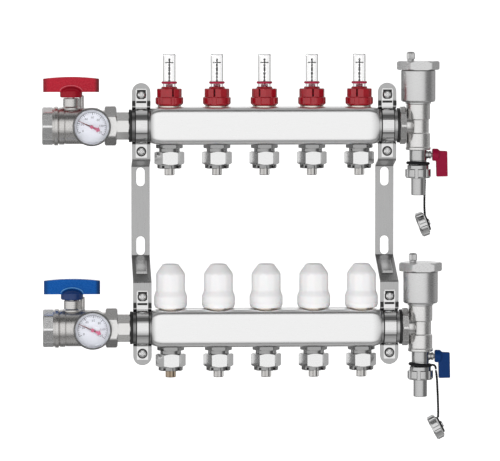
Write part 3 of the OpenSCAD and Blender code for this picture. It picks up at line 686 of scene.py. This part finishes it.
def pad_shape():
    """Raised pad on the lower slope."""
    start, end = Vector((-1.0, -47.5)), Vector((-67.0, -70.5))
    along = (end - start).normalized()
    out = Vector((along[1], -along[0]))
    face = start + out * 0.9
    verts = []
    for inset, lift_low, lift_high, shift in ((0, 0, 0, 0), (0.8, 2.8, 0.6, 1.2)):
        for x, run, lift in ((-6 + inset, 14 + shift, lift_high), (6 - inset, 14 + shift, lift_high),
                (6 - inset, 50 - shift, lift_low), (-6 + inset, 50 - shift, lift_low)):
            p = face + along * run + out * lift
            verts.append((x, p[0], p[1]))
    return verts, [(0, 1, 2, 3), (4, 5, 6, 7), (0, 1, 5, 4), (1, 2, 6, 5), (2, 3, 7, 6), (3, 0, 4, 7)]


BRACKET = bracket_shape()
PAD = pad_shape()
wall = [Matrix.Translation((x * MM, 0, 0)) @ Matrix.Scale(MM, 4) for x in (0.0, 2 * CLAMP)]
piece("wall_bracket_strips", [(s, m) for m in wall for s in (BRACKET, PAD)], "bracket_steel",
    "wall_brackets", bevel=0.35)

CLAMPS = [place(row, side * CLAMP) for row in ROWS for side in (-1, 1)]
CLAMP_SCREWS = [m @ Matrix.Translation((0, 0, z)) @ TO_FRONT for m in CLAMPS for z in SCREW_HEIGHTS]
strap_path = rounded([(-0.75, 39.0)] + [tuple(p) for p in arc_points((0, 0), 18.75, 92.3, 267.7, 28)]
    + [(-0.75, -33.5)], 1.6, 4)
clamp_strap = strip_shape(strap_path, 12.0, 1.5, 0.8,
    [slot_loop(run_at(strap_path, -0.75, z), *SCREW_HOLE) for z in SCREW_HEIGHTS])
ribs = [block((-5.8, -2.7, 26.2), (5.8, -1.4, 28.0)), block((-5.8, -2.7, 22.1), (5.8, -1.4, 23.9)),
    block((-5.9, -2.9, 28.6), (-5.1, -1.4, 38.4)), block((5.1, -2.9, 28.6), (5.9, -1.4, 38.4)),
    block((-5.9, -2.9, 38.0), (5.9, -1.4, 38.8))]
piece("clamp_strap_set", [(s, m) for m in CLAMPS for s in (clamp_strap, *ribs)], "clamp_steel",
    "clamp_straps", bevel=0.3)

lining = lathe([(17.05, -7), (17.8, -7, 0.3), (17.8, 7, 0.3), (17.05, 7), (17.05, -7)], 72, 0.2)
lugs_and_shade_pads = [block((side * 7.9 - 1.8, -2.6, 20.8), (side * 7.9 + 1.8, -0.1, 26.0)) for side in (-1, 1)]
# A black band between the strap's ribs and a black pad behind the top screw: painted shade.
lugs_and_shade_pads += [block((-5.2, -1.9, 23.8), (5.2, -1.4, 26.3)), block((-4.5, -1.8, 29.0), (4.8, -1.4, 37.8))]
# Black rings under the screw heads: painted shade round each head.
washer_shade_ring = lathe([(4.0, 1.5), (5.2, 1.5, 0.1), (5.2, 2.1, 0.2), (4.0, 2.1)], 48, 0.1)
# The linings and their side lugs are rubber; the band, pad and rings with them are painted shade.
piece("clamp_lining_and_shade_set", [(lining, m @ ALONG_X) for m in CLAMPS] + [(lug, m) for m in CLAMPS
    for lug in lugs_and_shade_pads] + [(washer_shade_ring, m) for m in CLAMP_SCREWS], "lining_rubber", "clamp_linings", bevel=0.15)


def screw_shapes():
    """Pan head with a cross recess, its shank, and the nut behind."""
    head = rounded([(3.8, 1.5), (4.1, 1.9, 0.3), (3.9, 3.3, 0.8)], 0.3)
    head += [Vector((3.8 * cos(a), 3.3 + 1.15 * sin(a))) for a in (radians(5 * i) for i in range(1, 19))]
    verts, faces = turned(dense(head, 0.25), 96)
    cut = []
    for x, y, z in verts:
        u, v = abs(x + y) / sqrt(2), abs(x - y) / sqrt(2)
        near = min(max(u / 0.6, v / 2.6), max(v / 0.6, u / 2.6))
        dip = share((1.25 - near) / 0.4)
        cut.append((x, y, z - 1.3 * dip * (1 if z > 3.2 else 0)))
    shank = lathe([(0, -7), (2.1, -7, 0.3), (2.4, -6.5, 0.2), (2.4, 1.6)], 32, 0.2)
    back = nut([(2.45, -6), (4.2, -6, 0.2), (5, -5.5, 0.2), (5, -2.5, 0.2), (4.2, -2, 0.2), (2.45, -2)], 6,
        4.6, 0, 60, 0.6, 0.2)
    return (cut, faces), shank, back


SCREW = screw_shapes()
piece("clamp_screw_set", [(s, m) for m in CLAMP_SCREWS for s in SCREW], "screw_steel", "clamp_screws")

# ---- Shut-off valves ----


def valve_parts(row):
    barrel = lathe([(11, -69.2), (19.2, -69.2, 0.3), (19.2, -36, 1.5), (16.5, -31, 1.5), (16.5, -22, 0.5),
        (11, -22)], 96, 0.4)
    inlet = nut([(11, -80), (15.15, -80, 0), (15.15, -92.6, 0), (16.2, -93.5, 0.2), (18.6, -93.5, 0.3),
        (21, -92.0, 0.3), (21, -83.4, 0.4), (19.3, -82.6, 0.3), (11, -82.6)], 8, 20, 22.5)
    rings = lathe([(11, -82.9), (19.3, -82.9, 0.2), (19.4, -81.2, 0.3), (20.5, -80.7, 0.6),
        (20.6, -77.2, 0.6), (19.4, -76.5, 0.3), (18.7, -76.3, 0.3), (18.7, -75.9, 0.3), (19.7, -75.6, 0.4),
        (19.7, -70.2, 0.4), (18.7, -69.9, 0.2), (18.7, -69.3, 0.2), (19.2, -69.0, 0.2), (11, -69.0)], 96,
        0.3)
    bonnet = lathe([(4.1, 10), (8.45, 10, 0), (8.45, 28.6, 0.5), (7.6, 29.2, 0.2), (4.1, 29.2)], 64, 0.3)
    collar = lathe([(8.2, 17.2), (10.6, 17.4, 0.5), (9.9, 19.6, 0.8), (8.3, 20.6, 0.4)], 64, 0.4)
    boss = lathe([(2.6, 14), (7, 14, 0), (7, 23.0, 0.4), (6.2, 23.5, 0.2), (2.6, 23.5)], 48, 0.3)
    post = lathe([(0, 12), (2.5, 12, 0), (2.5, 31.4, 0.5), (1.9, 32, 0.2), (0, 32)], 24, 0.3)
    base = place(row, -NECK_END)
    return [
        (barrel, base @ ALONG_X), (inlet, base @ ALONG_X, 1), (rings, base @ ALONG_X),
        (bonnet, place(row, STEM)), (collar, place(row, STEM)),
        (boss, place(row, GAUGE) @ TO_FRONT), (post, place(row, STEM + 11, 10))]


piece("valve_body_castings", valve_parts("supply") + valve_parts("return"), ["valve_nickel", "valve_flats"],
    "valve_bodies")

union = nut([(14.4, -15.6), (19.0, -15.6, 0.3), (22, -17.4, 0.3), (22, -26.2, 0.3), (19.2, -28, 0.3),
    (16.6, -28, 0.2), (16.6, -17.4, 0), (14.4, -17.4, 0), (14.4, -15.6)], 6, 21, 30)
piece("union_nut_pair", on_both([union], -NECK_END, turn=ALONG_X), "union_nickel", "union_nuts")

tail = nut([(11, -20.8), (16.2, -20.8, 0.3), (16.2, -17.5, 0.2), (14.3, -17.5, 0), (14.3, -15.5, 0.1),
    (15.0, -15.5, 0.1), (16, -14.4, 0.3), (16, -3.6, 0.3), (14.6, -2.5, 0.3), (13.4, -2.5, 0),
    (13.4, 9, 0.3), (11, 9)], 8, 15.5, 0)
piece("union_tail_pair", on_both([tail], -NECK_END, turn=ALONG_X), "union_nickel", "union_tails")


def handle_shapes():
    """Butterfly grip, the dome over its hub and the thin rounded lip in front of it, which carries a painted
    highlight.
    """
    half, high, low = 29.3, 51.5, 35.7
    arch = [(half * (1 - 2 * i / 24), high - 1.9 * (1 - 2 * i / 24) ** 2) for i in range(25)]
    wing = slab([(-half, low), (half, low)] + arch, -4.5, 4.5)
    dome = rounded([(0, 30), (10.9, 30, 0.3), (11.7, 30.8, 0.4), (11.7, 35.5, 1.0)], 0.4)
    dome += [Vector((11.7 * cos(a), 35.5 + 6.3 * sin(a))) for a in (radians(7.5 * i) for i in range(1, 13))]
    lip_angles = [radians(12 + 156 * i / 24) for i in range(25)]
    lip = [Vector((11.9 * cos(a), -4.75, 35.9 + 6.7 * sin(a))) for a in lip_angles]
    return wing, turned(dome, 64), tube(lip, 0.42, 8)


HUES = {"supply": "red", "return": "blue"}
wing, dome, lip = handle_shapes()
for row, hue in HUES.items():
    # Painted shade towards both ends of each wing, deeper at the right end.
    shade_ends(LOOKS[f"handle_{hue}"], ROWS[row].x + STEM * MM, 23.5, 27.8, 0.58, 0.30)
    at = place(row, STEM)
    # The dome takes painted shade (material 1) and the lips a painted highlight (material 2).
    piece(f"{row}_handle_cast", [(wing, at, 0), (dome, at, 1), (lip, at, 2),
        (lip, at @ Matrix.Scale(-1, 4, (0, 1, 0)), 2)], [f"handle_{hue}", f"hub_{hue}", f"rim_{hue}"],
        f"{row}_handle", bevel=1.1)

# ---- Thermometers ----

case = rounded([(2.5, 7), (2.5, 23.4, 0), (19.0, 23.5, 0.6), (19.9, 24.6, 0.6), (19.9, 32.0, 0.8),
    (19.2, 33.0, 0.5), (18.3, 33.0, 0.3), (18.2, 31.6, 0.2), (18.2, 25.0, 0.2), (0, 25.0)], 0.3)
piece("gauge_bezels", on_both([turned([(0, 7)] + case, 96)], GAUGE, turn=TO_FRONT), "gauge_case",
    "thermometer_cases")


def dial_angle(value):
    """Direction of a reading on the dial, as degrees clockwise from the left."""
    return -25.3 + 2.0 * value


def digits(text, size):
    """Flat figures in the X-Z plane, centred."""
    curve = bpy.data.curves.new("digits", "FONT")
    curve.body, curve.size, curve.align_x, curve.align_y = text, size, "CENTER", "CENTER"
    curve.resolution_u = 2
    obj = bpy.data.objects.new("digits", curve)
    scene.collection.objects.link(obj)
    bpy.context.view_layer.update()
    mesh = obj.to_mesh()
    shape = [(v.co.x, 0.0, v.co.y) for v in mesh.vertices], [tuple(p.vertices) for p in mesh.polygons]
    obj.to_mesh_clear()
    bpy.data.objects.remove(obj)
    bpy.data.curves.remove(curve)
    return shape


DIAL_R = 15.0
DIAL_TOP = 120


def dial_parts(row):
    """Dial with its ticks, scale arc and numbers, from nought to DIAL_TOP degrees."""
    disc = lathe([(0.8, 25.05), (18.1, 25.05, 0.1), (18.1, 26.0, 0.2), (0.8, 26.0)], 72, 0.1)
    parts = [(disc, place(row, GAUGE) @ TO_FRONT, 0)]
    for value in range(0, DIAL_TOP + 1, 4):
        major = value % 20 == 0
        turn = Matrix.Rotation(radians(dial_angle(value)), 4, "Y")
        width, start = (0.28, 12.4) if major else (0.14, 13.4)
        parts.append((block((-DIAL_R, -26.06, -width), (-start, -26.0, width)), place(row, GAUGE) @ turn,
            1))
    arc = [radians(180 - dial_angle(value)) for value in range(0, DIAL_TOP + 1, 2)]
    for a, b in zip(arc, arc[1:]):
        corners = [(DIAL_R, a), (DIAL_R + 0.35, a), (DIAL_R + 0.35, b), (DIAL_R, b)]
        parts.append((slab([(r * cos(t), r * sin(t)) for r, t in corners], -26.06, -26.0),
            place(row, GAUGE), 1))
    for value in range(0, DIAL_TOP + 1, 20):
        a = radians(180 - dial_angle(value))
        at = Matrix.Translation((9.9 * cos(a), -26.05, 9.9 * sin(a)))
        parts.append((digits(str(value), 3.4), place(row, GAUGE) @ at, 1))
    return parts


piece("gauge_faces", dial_parts("supply") + dial_parts("return"), ["gauge_dial", "print_grey"],
    "thermometer_dials")
lens = lathe([(0, 31.2), (18.0, 31.2, 0.2), (18.0, 32.4, 0.5), (12, 32.62), (0, 32.7)], 72, 0.3)
piece("gauge_lens_discs", on_both([lens], GAUGE, turn=TO_FRONT), "gauge_lens", "thermometer_lenses")

point = slab([(-15.8, -0.2), (-15.8, 0.2), (-2, 0.62), (3, 0.8), (3, -0.8), (-2, -0.62)], -28.1, -27.6)
arrow = slab([(2.5, -1.0), (6.5, -1.6), (6.2, -3.2), (9.8, 0), (6.2, 3.2), (6.5, 1.6), (2.5, 1.0)], -28.1,
    -27.6)
hub = lathe([(0, 25.1), (0.75, 25.1, 0), (0.75, 26.2, 0), (1.9, 26.2, 0.1), (1.9, 28.5, 0.4), (0, 28.7)],
    32, 0.2)
NEEDLE_TURN = 24.7
for row in ROWS:
    tilt = place(row, GAUGE) @ Matrix.Rotation(radians(NEEDLE_TURN), 4, "Y")
    piece(f"{row}_pointer_set", [(point, tilt, 0), (arrow, tilt, 1),
        (hub, place(row, GAUGE) @ TO_FRONT, 1)], ["needle_red", "tail_red"], f"{row}_needle")

# ---- Flow meters ----


def at_circuits(row, shapes):
    return [(shape, place(row, c * PITCH), *index) for c in CIRCUITS for shape, *index in shapes]


def at_all_circuits(shapes):
    return at_circuits("supply", shapes) + at_circuits("return", shapes)


glass = rounded([(5.8, 30.3), (6.5, 30.3, 0.1), (6.5, 38.3, 0), (6.7, 39, 0.1), (6.7, 74.4, 0.7),
    (6.0, 75.4, 0.4), (0, 75.5)], 0.2)
glass += rounded([(0, 74.3), (5.8, 74.3, 0.6), (5.8, 30.3)], 0.3)
flange = rounded([(6.8, 44.1), (7.6, 44.1, 0.2), (8.3, 44.7, 0.3), (8.3, 46.2, 0.4), (7.4, 46.7, 0.3),
    (6.8, 46.7), (6.8, 44.1)], 0.3)
core = rounded([(2.4, 36), (3.6, 36, 0.1), (3.6, 43.6, 0.5), (2.4, 43.9, 0.1), (2.4, 36)], 0.1)
# The flange and core take the pink: a painted reflection of the red collar.
piece("sight_tubes", at_circuits("supply", [(turned(glass, 72), 0), (turned(flange, 64), 1),
    (turned(core, 32), 1)]), ["sight_glass", "flange_pink"], "sight_glasses")

seat = rounded([(4.5, 16.7), (8.9, 16.7, 0.2), (8.9, 19.7, 0), (12.4, 19.7, 0.2), (12.4, 21.2, 0.4),
    (10, 21.2, 0.3), (10, 38.2, 0.5), (6.55, 38.2, 0.3), (6.55, 30, 0), (4.5, 30)], 0.2)
insert = rounded([(2.05, 16.7), (8.9, 16.7, 0.2), (8.9, 19.7, 0), (12.4, 19.7, 0.2), (12.4, 20.6, 0.3),
    (14.6, 20.6, 0), (14.6, 28.9, 0.4), (8, 29.2, 0.3), (8, 41, 0.5), (2.05, 41)], 0.2)
piece("cartridge_sets", at_circuits("supply", [(turned(seat, 64),)])
    + at_circuits("return", [(turned(insert, 64),)]), "cartridge_brass", "bar_cartridges")

# How far each collar is turned at rest, in degrees
COLLAR_TURNS = [-73.7, -104.5, -117.4, -88, -105.7]
collar_flats = flats(12, 13.35 * cos(pi / 12), 15)


def collar_limit(a, z, r):
    """Twelve flats with a marker groove on two sides above, six lobes below."""
    if r < 11:
        return r
    if z > 30.3:
        side = min(a % pi, pi - a % pi) * 13
        dip = share((1.15 - side) / 0.5) * share((z - 30.6) / 0.5)
        return min(collar_flats(a, z, r), r) * (1 - dip) + min(r, 11.6) * dip
    lobe = share((radians(20) - abs(off_angle(a, 6, 30))) / radians(3) + 0.5)
    return min(r, 13.75 + 0.85 * lobe)


collar = dense(rounded([(6.9, 38.4), (10.05, 38.4, 0), (10.05, 21.6, 0.3), (12.4, 21.4, 0.3),
    (14.6, 23.2, 0.8), (14.6, 29.6, 0.6), (13.4, 30.4, 0.3), (13.4, 38.3, 0.5), (12.8, 39, 0.3),
    (8.7, 39, 0.2), (8.0, 41.1, 0.4), (6.9, 41.1, 0.2), (6.9, 38.4)], 0.3), 1.0)
for number, c in enumerate(CIRCUITS, 1):
    at = place("supply", c * PITCH) @ Matrix.Rotation(radians(COLLAR_TURNS[number - 1]), 4, "Z")
    # Dark strips in the marker grooves: painted shade in the recess.
    strips = [block((x, -0.62, 30.9), (x + 0.9, 0.62, 38.7)) for x in (11.4, -12.3)]
    piece(f"collar_{number}_moulded", [(turned(collar, 192, collar_limit), at, 0),
        *((b, at, 1) for b in strips)], ["collar_red", "groove_red"], f"flow_collar_{number}", smooth=30)

beads = []
for low, high, r in ((45.6, 48.4, 1.05), (50.2, 52.0, 0.95), (53.8, 56.0, 1.2), (57.6, 61.6, 1.15),
    (62.8, 64.6, 1.1)):
    beads += [(0.55, low - 0.5, 0), (r, low + 0.2, 0.4), (r, high - 0.2, 0.4), (0.55, high + 0.5, 0)]
rod = rounded([(0, -12), (6, -12, 0.2), (6, -10.8, 0.2), (1.4, -10.8, 0), (1.4, 10, 0.3), (0.8, 10.4, 0),
    (0.8, 43, 0), (0.55, 43.6, 0)] + beads + [(0.6, 65.6, 0.1), (1.4, 65.8, 0.1), (4.4, 65.9, 0.2),
    (4.4, 66.9, 0.3), (1.0, 67.1, 0.2), (0.7, 68.3, 0.2), (1.3, 69.2, 0.5), (1.2, 70.3, 0.5), (0, 70.9)],
    0.2)
for number, c in enumerate(CIRCUITS, 1):
    piece(f"float_{number}_rod", [(turned(rod, 32), place("supply", c * PITCH))], "float_black",
        f"flow_float_{number}")

# ---- Manual caps ----

cap_path = dense(rounded([(0, 66.6), (6.6, 67.0, 1.0), (8.6, 66.2, 1.4), (14.1, 58.6, 1.6),
    (15.3, 56.0, 1.4), (15.3, 39.4, 3.0), (17.4, 33.0, 3.0), (17.4, 27.0, 0.2), (17.1, 26.6, 0.2),
    (17.4, 26.2, 0.2), (17.4, 24.4, 1.2), (16.2, 21.2, 0.5), (15.1, 21.2, 0.2), (15.1, 31.5, 0),
    (13.2, 31.5, 0), (13.2, 41.3, 0), (4, 41.3, 0), (4, 48.3, 0), (0, 48.3)], 0.5, 5), 1.4)


def cap_limit(a, z, r):
    """Twelve flats above that run out into the round skirt."""
    if r < 13.3 and z < 48.4:
        return r
    flat = flats(12, 15.6 * cos(pi / 12), 15)(a, z, r)
    blend = share((z - 35.5) / 5.0)
    return r + (flat - r) * blend * blend * (3 - 2 * blend)


for number, c in enumerate(CIRCUITS, 1):
    piece(f"cap_{number}_moulded", [(turned(cap_path, 144, cap_limit), place("return", c * PITCH))],
        "cap_white", f"valve_cap_{number}", smooth=30)

# ---- Outlets ----

nipple_hex = nut([(7.5, -18.3), (8.9, -18.3, 0), (8.9, -19.7, 0), (13.6, -19.7, 0.2), (15, -20.5, 0.2),
    (15, -22.8, 0.2), (13.4, -23.6, 0.2), (10.9, -23.7, 0.2), (10.9, -36, 0.5), (7.5, -36)], 6, 14.4, 30,
    step=0.8)
# The nipples take the darker nickel: painted shade under the bars.
piece("nipple_set", at_all_circuits([(nipple_hex,)]), "nipple_nickel", "outlet_nipples")


def skirt_limit(a, z, r):
    """Ten narrow grooves down the nut's lower ring."""
    return 9.4 if z < -41.5 and r > 9.4 and abs(off_angle(a, 10, 22)) * 11 < 1.3 else r


compression = nut([(11.0, -27), (14.0, -27, 0.2), (16.6, -28.4, 0.2), (16.6, -39.2, 0.2),
    (14.2, -40.5, 0.2), (12.8, -40.7, 0.2), (11.0, -40.7, 0), (11.0, -27)], 6, 16, 34, 180, 0.8, 0.3)
# The lower ring takes the darker nickel: painted shade in and round its grooves.
skirt = milled([(8.6, -40.6), (12.8, -40.72, 0.1), (12.8, -44.2, 0.3), (12.2, -44.8, 0.2),
    (9.2, -44.8, 0.2), (8.6, -44.2, 0.2), (8.6, -40.6)], 180, 0.3, 0.8, skirt_limit)
piece("compression_nut_set", at_all_circuits([(compression, 0), (skirt, 1)]),
    ["fitting_nickel", "nipple_nickel"], "compression_nuts")
ring_path = rounded([(8.2, -37.4), (10.7, -37.4, 0.2), (10.2, -40.9, 0.2), (8.2, -40.9)], 0.1)
insert_bore = turned([(4, -50), (4, -32)], 48)


def insert_limit(a, z, r):
    """Six narrow slots along the part that enters the pipe."""
    cut = share((0.75 - abs(off_angle(a, 6, 18)) * 5.5) / 0.3) if z < -37.4 else 0.0
    return r - (0.9 * cut if r > 4.9 else 0.0)


insert_pin = milled([(4, -32), (7.4, -32, 0.2), (7.4, -36, 0), (9.6, -36.1, 0.2), (9.6, -37.2, 0.2),
    (5.5, -37.3, 0), (5.5, -43, 0), (5.5, -51.4, 0.4), (4.9, -52, 0.3), (4.0, -52), (4.0, -50)], 96, 0.3,
    1.0, insert_limit)
inserts = [(s, place(row, c * PITCH), 1 if (row, c) == ("return", -2) else 0) for row in ROWS
    for c in CIRCUITS for s in (insert_pin, insert_bore, turned(ring_path, 48))]
piece("insert_set", inserts, ["insert_nickel", "insert_brass"], "pipe_inserts")

# ---- Tees, vents, drains ----

carried("seals_and_seats", bevel=0.0)
tee_hex = nut([(8, 2.4), (18.4, 2.4, 0.3), (20.6, 3.4, 0.3), (20.6, 8.0, 0.3), (18.9, 9, 0.3),
    (9.7, 9, 0.3), (9.7, 22, 0), (8, 22)], 8, 20, 22.5, step=1.0)
tee_branch = lathe([(9.7, 9.2), (9.7, 12, 0), (10.2, 14, 0), (11.2, 15.8, 0.5)], 64, 1.0)
tee_trunk = lathe([(8, -26), (12.6, -26, 0.3), (13.2, -25.4, 0.5), (13.2, -23.2, 0.5), (12.6, -22.4, 0.3),
    (12.6, -8.6, 0.5), (11.3, -7.6, 0.4), (11.3, 5.8, 0.4), (12.6, 6.6, 0.4), (12.6, 22.2, 0.4),
    (12.0, 22.6, 0.2), (8, 22.6)], 80, 0.3)
spigot = lathe([(8, 2.5), (13.4, 2.5, 0), (13.4, -10, 0.3), (8, -10)], 64, 0.2)
piece("tee_castings", on_both([tee_hex, tee_branch, spigot], NECK_END, turn=ALONG_X)
    + on_both([tee_trunk], TEE), "tee_nickel", "end_tees")

vent = lathe([(7, 14), (9.9, 14, 0.2), (9.9, 22.7, 0), (13.6, 22.7, 0.3), (13.6, 24.4, 0.5),
    (17.2, 24.9, 0.5), (18.2, 26.2, 0.6), (18.2, 57.4, 0.4), (17.6, 57.8, 0.2), (16.2, 57.8, 0.2),
    (16.2, 27.5, 0), (7, 27.5)], 96, 0.3)
piece("vent_chambers", on_both([vent], TEE), "vent_nickel", "vent_bodies")

lid = nut([(14, 52), (16.1, 52, 0.1), (16.1, 58.4, 0), (21.2, 58.4, 0.3), (23.4, 59.6, 0.3),
    (23.4, 66.2, 0.4), (21.0, 67.6, 0.5), (0, 67.6)], 6, 22.9, 34, step=1.4)
lid_nozzle = lathe([(0.9, 64), (0.9, 74, 0.1), (2.4, 74, 0.3), (2.4, 67.5)], 32, 0.1)


def knurl(a, z, r):
    """Fine waves round the dust cap's outside."""
    return r - 0.3 + 0.3 * cos(16 * a) if r > 3.9 else r


dust_cap = milled([(2.5, 67.9), (3.6, 67.9, 0.2), (3.6, 69.4, 0.2), (4.5, 69.9, 0.2), (4.5, 75.6, 0.4),
    (3.2, 77.4, 0.6), (0, 77.5)], 80, 0.3, 1.0, knurl)
piece("vent_lid_set", on_both([lid], TEE) + on_both([lid_nozzle, dust_cap], VENT), "vent_nickel",
    "vent_lids")

drain = lathe([(4.2, -19), (8.4, -19, 0), (8.4, -26, 0), (9.2, -26.1, 0.2), (9.2, -36.6, 0.2),
    (9.0, -36.9, 0.1), (9.0, -41.2, 0.1), (11.3, -42.2, 0.5), (11.3, -50, 0.3), (4.2, -50)], 72, 0.2)
gland = lathe([(2.05, 8), (4.1, 8, 0), (4.1, 10.2, 0.3), (3.7, 10.7, 0.2), (3.7, 11.4, 0.2),
    (4.1, 11.8, 0.3), (4.1, 13.5, 0.4), (3.4, 14, 0.2), (2.05, 14)], 48, 0.2)
piece("drain_castings", on_both([drain], TEE) + on_both([gland], TEE, DRAIN_Z, ALONG_X), "drain_nickel",
    "drain_bodies")

drain_nut = milled([(11.4, -46), (12.6, -45.9, 0.2), (13.6, -46.5, 0.5), (13.6, -53.9, 0.6),
    (12.9, -54.8, 0.3), (12.6, -55.5, 0.3), (7.6, -55.5, 0.2), (7.6, -53.3, 0), (11.4, -53.3, 0),
    (11.4, -46)], 160, 0.2, 0.8, scallop(8, 12.5, 10, 3.4))
hose_tail = lathe([(5.6, -51.2), (11.2, -51.2, 0.1), (11.2, -53.2, 0.1), (7.4, -53.2, 0), (7.4, -56.1, 0.1),
    (7.2, -56.3, 0.1), (7.2, -73.2, 0.3), (6.6, -73.7, 0.2), (5.6, -73.7, 0.1), (5.6, -51.2)], 64, 0.2)
piece("drain_nut_set", on_both([drain_nut, hose_tail], TEE), "drain_nickel", "drain_outlets")

lever_blade = slab([(15.2, 6.5), (20.6, 6.5), (23, 4.3), (30.8, 3.9), (31.3, -22.8), (19.4, -23),
    (19, -6.5), (15.2, -6.2)], -3.6, 3.6)
lever_hub = lathe([(2.1, 15), (5.8, 15, 0.3), (6.4, 15.6, 0.4), (6.4, 21.0, 0.5), (5.8, 21.6, 0.2),
    (0, 21.6)], 56, 0.3)
for row in ROWS:
    at = place(row, TEE, 0, DRAIN_Z)
    piece(f"{row}_lever_moulded", [(lever_blade, at), (lever_hub, at @ ALONG_X)], f"lever_{HUES[row]}",
        f"{row}_drain_handle", bevel=0.7)


def band_parts(row):
    """Band round the drain body, and the arm from it to the hanging strap."""
    shift, route = STRAP_ROUTES[row]
    x, y, z = route[0][0] / MM, shift / MM, route[0][1] / MM
    reach = sqrt(x * x + y * y)
    turn = Matrix.Rotation(math.atan2(y, x), 4, "Z")
    loop = turned([Vector((10.9 + 1.6 * cos(a), 1.6 * sin(a))) for a in (tau * i / 16 for i in range(17))],
        72)
    arm = smooth_line([Vector((10.6, 0, -40.6)), Vector((reach - 3.4, 0, -40.5)),
        Vector((reach - 1.1, 0, -41.3)), Vector((reach, 0, -43.6)), Vector((reach, 0, z + 0.6))])
    tilt = Matrix.Translation((0, 0, -40.0)) @ Matrix.Rotation(radians(4), 4, "Y")
    at = place(row, TEE)
    return [(loop, at @ turn @ tilt), (tube(arm, STRAP_R / MM), at @ turn)]


piece("strap_bands", band_parts("supply") + band_parts("return"), "strap_black", "strap_rings")

for name in ("supply_ball", "return_ball", "supply_drain_ball", "return_drain_ball",
        "supply_vent_float", "return_vent_float", *(f"valve_pin_{i}" for i in range(1, 6))):
    carried(name, bevel=0.15)

# ---- Floor, light ----


def make_stage():
    bm = bmesh.new()
    bmesh.ops.create_circle(bm, cap_ends=True, segments=96, radius=120.0)
    mesh = bpy.data.meshes.new("floor")
    bm.to_mesh(mesh)
    bm.free()
    mesh.materials.append(principled("floor_white", grey(0.9), 0.9, Emission_Color=(1.0, 1.0, 1.0, 1.0),
        Emission_Strength=0.8))
    floor = bpy.data.objects.new("floor", mesh)
    floor.location = (0.1, 0.0, -0.9)
    floor.visible_glossy = False
    scene.collection.objects.link(floor)


def ramp_node(tree, source, points):
    """Colour ramp over an angle in degrees, from -180 to 180."""
    made = node(tree, "ShaderNodeValToRGB", Fac=map_range(tree, source, -pi, pi))
    made.color_ramp.interpolation = "EASE"
    elements = made.color_ramp.elements
    while len(elements) < len(points):
        elements.new(0.5)
    for element, (value, level) in zip(elements, points):
        element.position = (value + 180) / 360
        element.color = (level, level, level, 1.0)
    return made.outputs["Color"]


def make_world():
    """Studio round the object: bright in front and behind, dark bands above, below and to the sides."""
    world = bpy.data.worlds.new("studio")
    scene.world = world
    world.use_nodes = True
    tree = world.node_tree
    background = tree.nodes["Background"]
    direction = node(tree, "ShaderNodeTexCoord").outputs["Generated"]
    split = node(tree, "ShaderNodeSeparateXYZ", Vector=direction)
    front = node(tree, "ShaderNodeMath", operation="MULTIPLY", Value=split.outputs["Y"])
    front.inputs[1].default_value = -1.0
    levels = []
    # Grey levels by angle from the front: X for level directions, to the right, and Z for steep ones, upwards
    for axis, points in (("X", [(-180, 1.0), (-166, 0.95), (-148, 0.22), (-112, 0.42), (-84, 0.92),
        (-20, 1.0), (12, 0.98), (34, 0.86), (50, 0.20), (80, 0.18), (102, 0.36), (126, 0.46), (150, 0.24),
        (168, 0.95), (180, 1.0)]), ("Z", [(-180, 1.0), (-166, 0.9), (-150, 0.32), (-122, 0.12), (-92, 0.46),
        (-56, 0.34), (-46, 0.14), (-34, 0.60), (-8, 0.97), (20, 1.0), (35, 0.95), (42, 0.12), (70, 0.10),
        (84, 0.42), (100, 0.56), (118, 0.22), (130, 0.34), (139, 0.88), (146, 0.90), (166, 0.95),
        (180, 1.0)])):
        angle = node(tree, "ShaderNodeMath", operation="ARCTAN2", Value=split.outputs[axis])
        tree.links.new(front.outputs["Value"], angle.inputs[1])
        levels.append(ramp_node(tree, angle.outputs["Value"], points))
    height = node(tree, "ShaderNodeMath", operation="ABSOLUTE", Value=split.outputs["Z"])
    weight = map_range(tree, height.outputs["Value"], 0.08, 0.60, ease="SMOOTHSTEP")
    mix = node(tree, "ShaderNodeMix", data_type="RGBA", Factor=weight)
    tree.links.new(levels[0], mix.inputs[6])
    tree.links.new(levels[1], mix.inputs[7])
    tree.links.new(mix.outputs[2], background.inputs["Color"])
    background.inputs["Strength"].default_value = 1.0


def softbox(name, location, size, power):
    data = bpy.data.lights.new(name, "AREA")
    data.shape, data.size, data.size_y, data.energy = "RECTANGLE", size[0], size[1], power
    lamp = bpy.data.objects.new(name, data)
    lamp.location = location
    aim = Vector((0.11, -0.05, -0.02)) - Vector(location)
    lamp.rotation_mode = "QUATERNION"
    lamp.rotation_quaternion = aim.to_track_quat("-Z", "Y")
    lamp.visible_glossy = False
    scene.collection.objects.link(lamp)


make_stage()
make_world()
softbox("key", (-1.1, -2.6, 1.0), (1.2, 1.0), 26)
softbox("fill", (1.6, -2.4, 0.3), (0.8, 1.2), 7)
softbox("rear", (-0.6, 2.2, 1.2), (1.6, 0.8), 10)
scene.view_settings.view_transform = "Standard"
scene.view_settings.look = "None"
scene.view_settings.exposure = 0.0
scene.cycles.max_bounces = 12
scene.cycles.transmission_bounces = 8
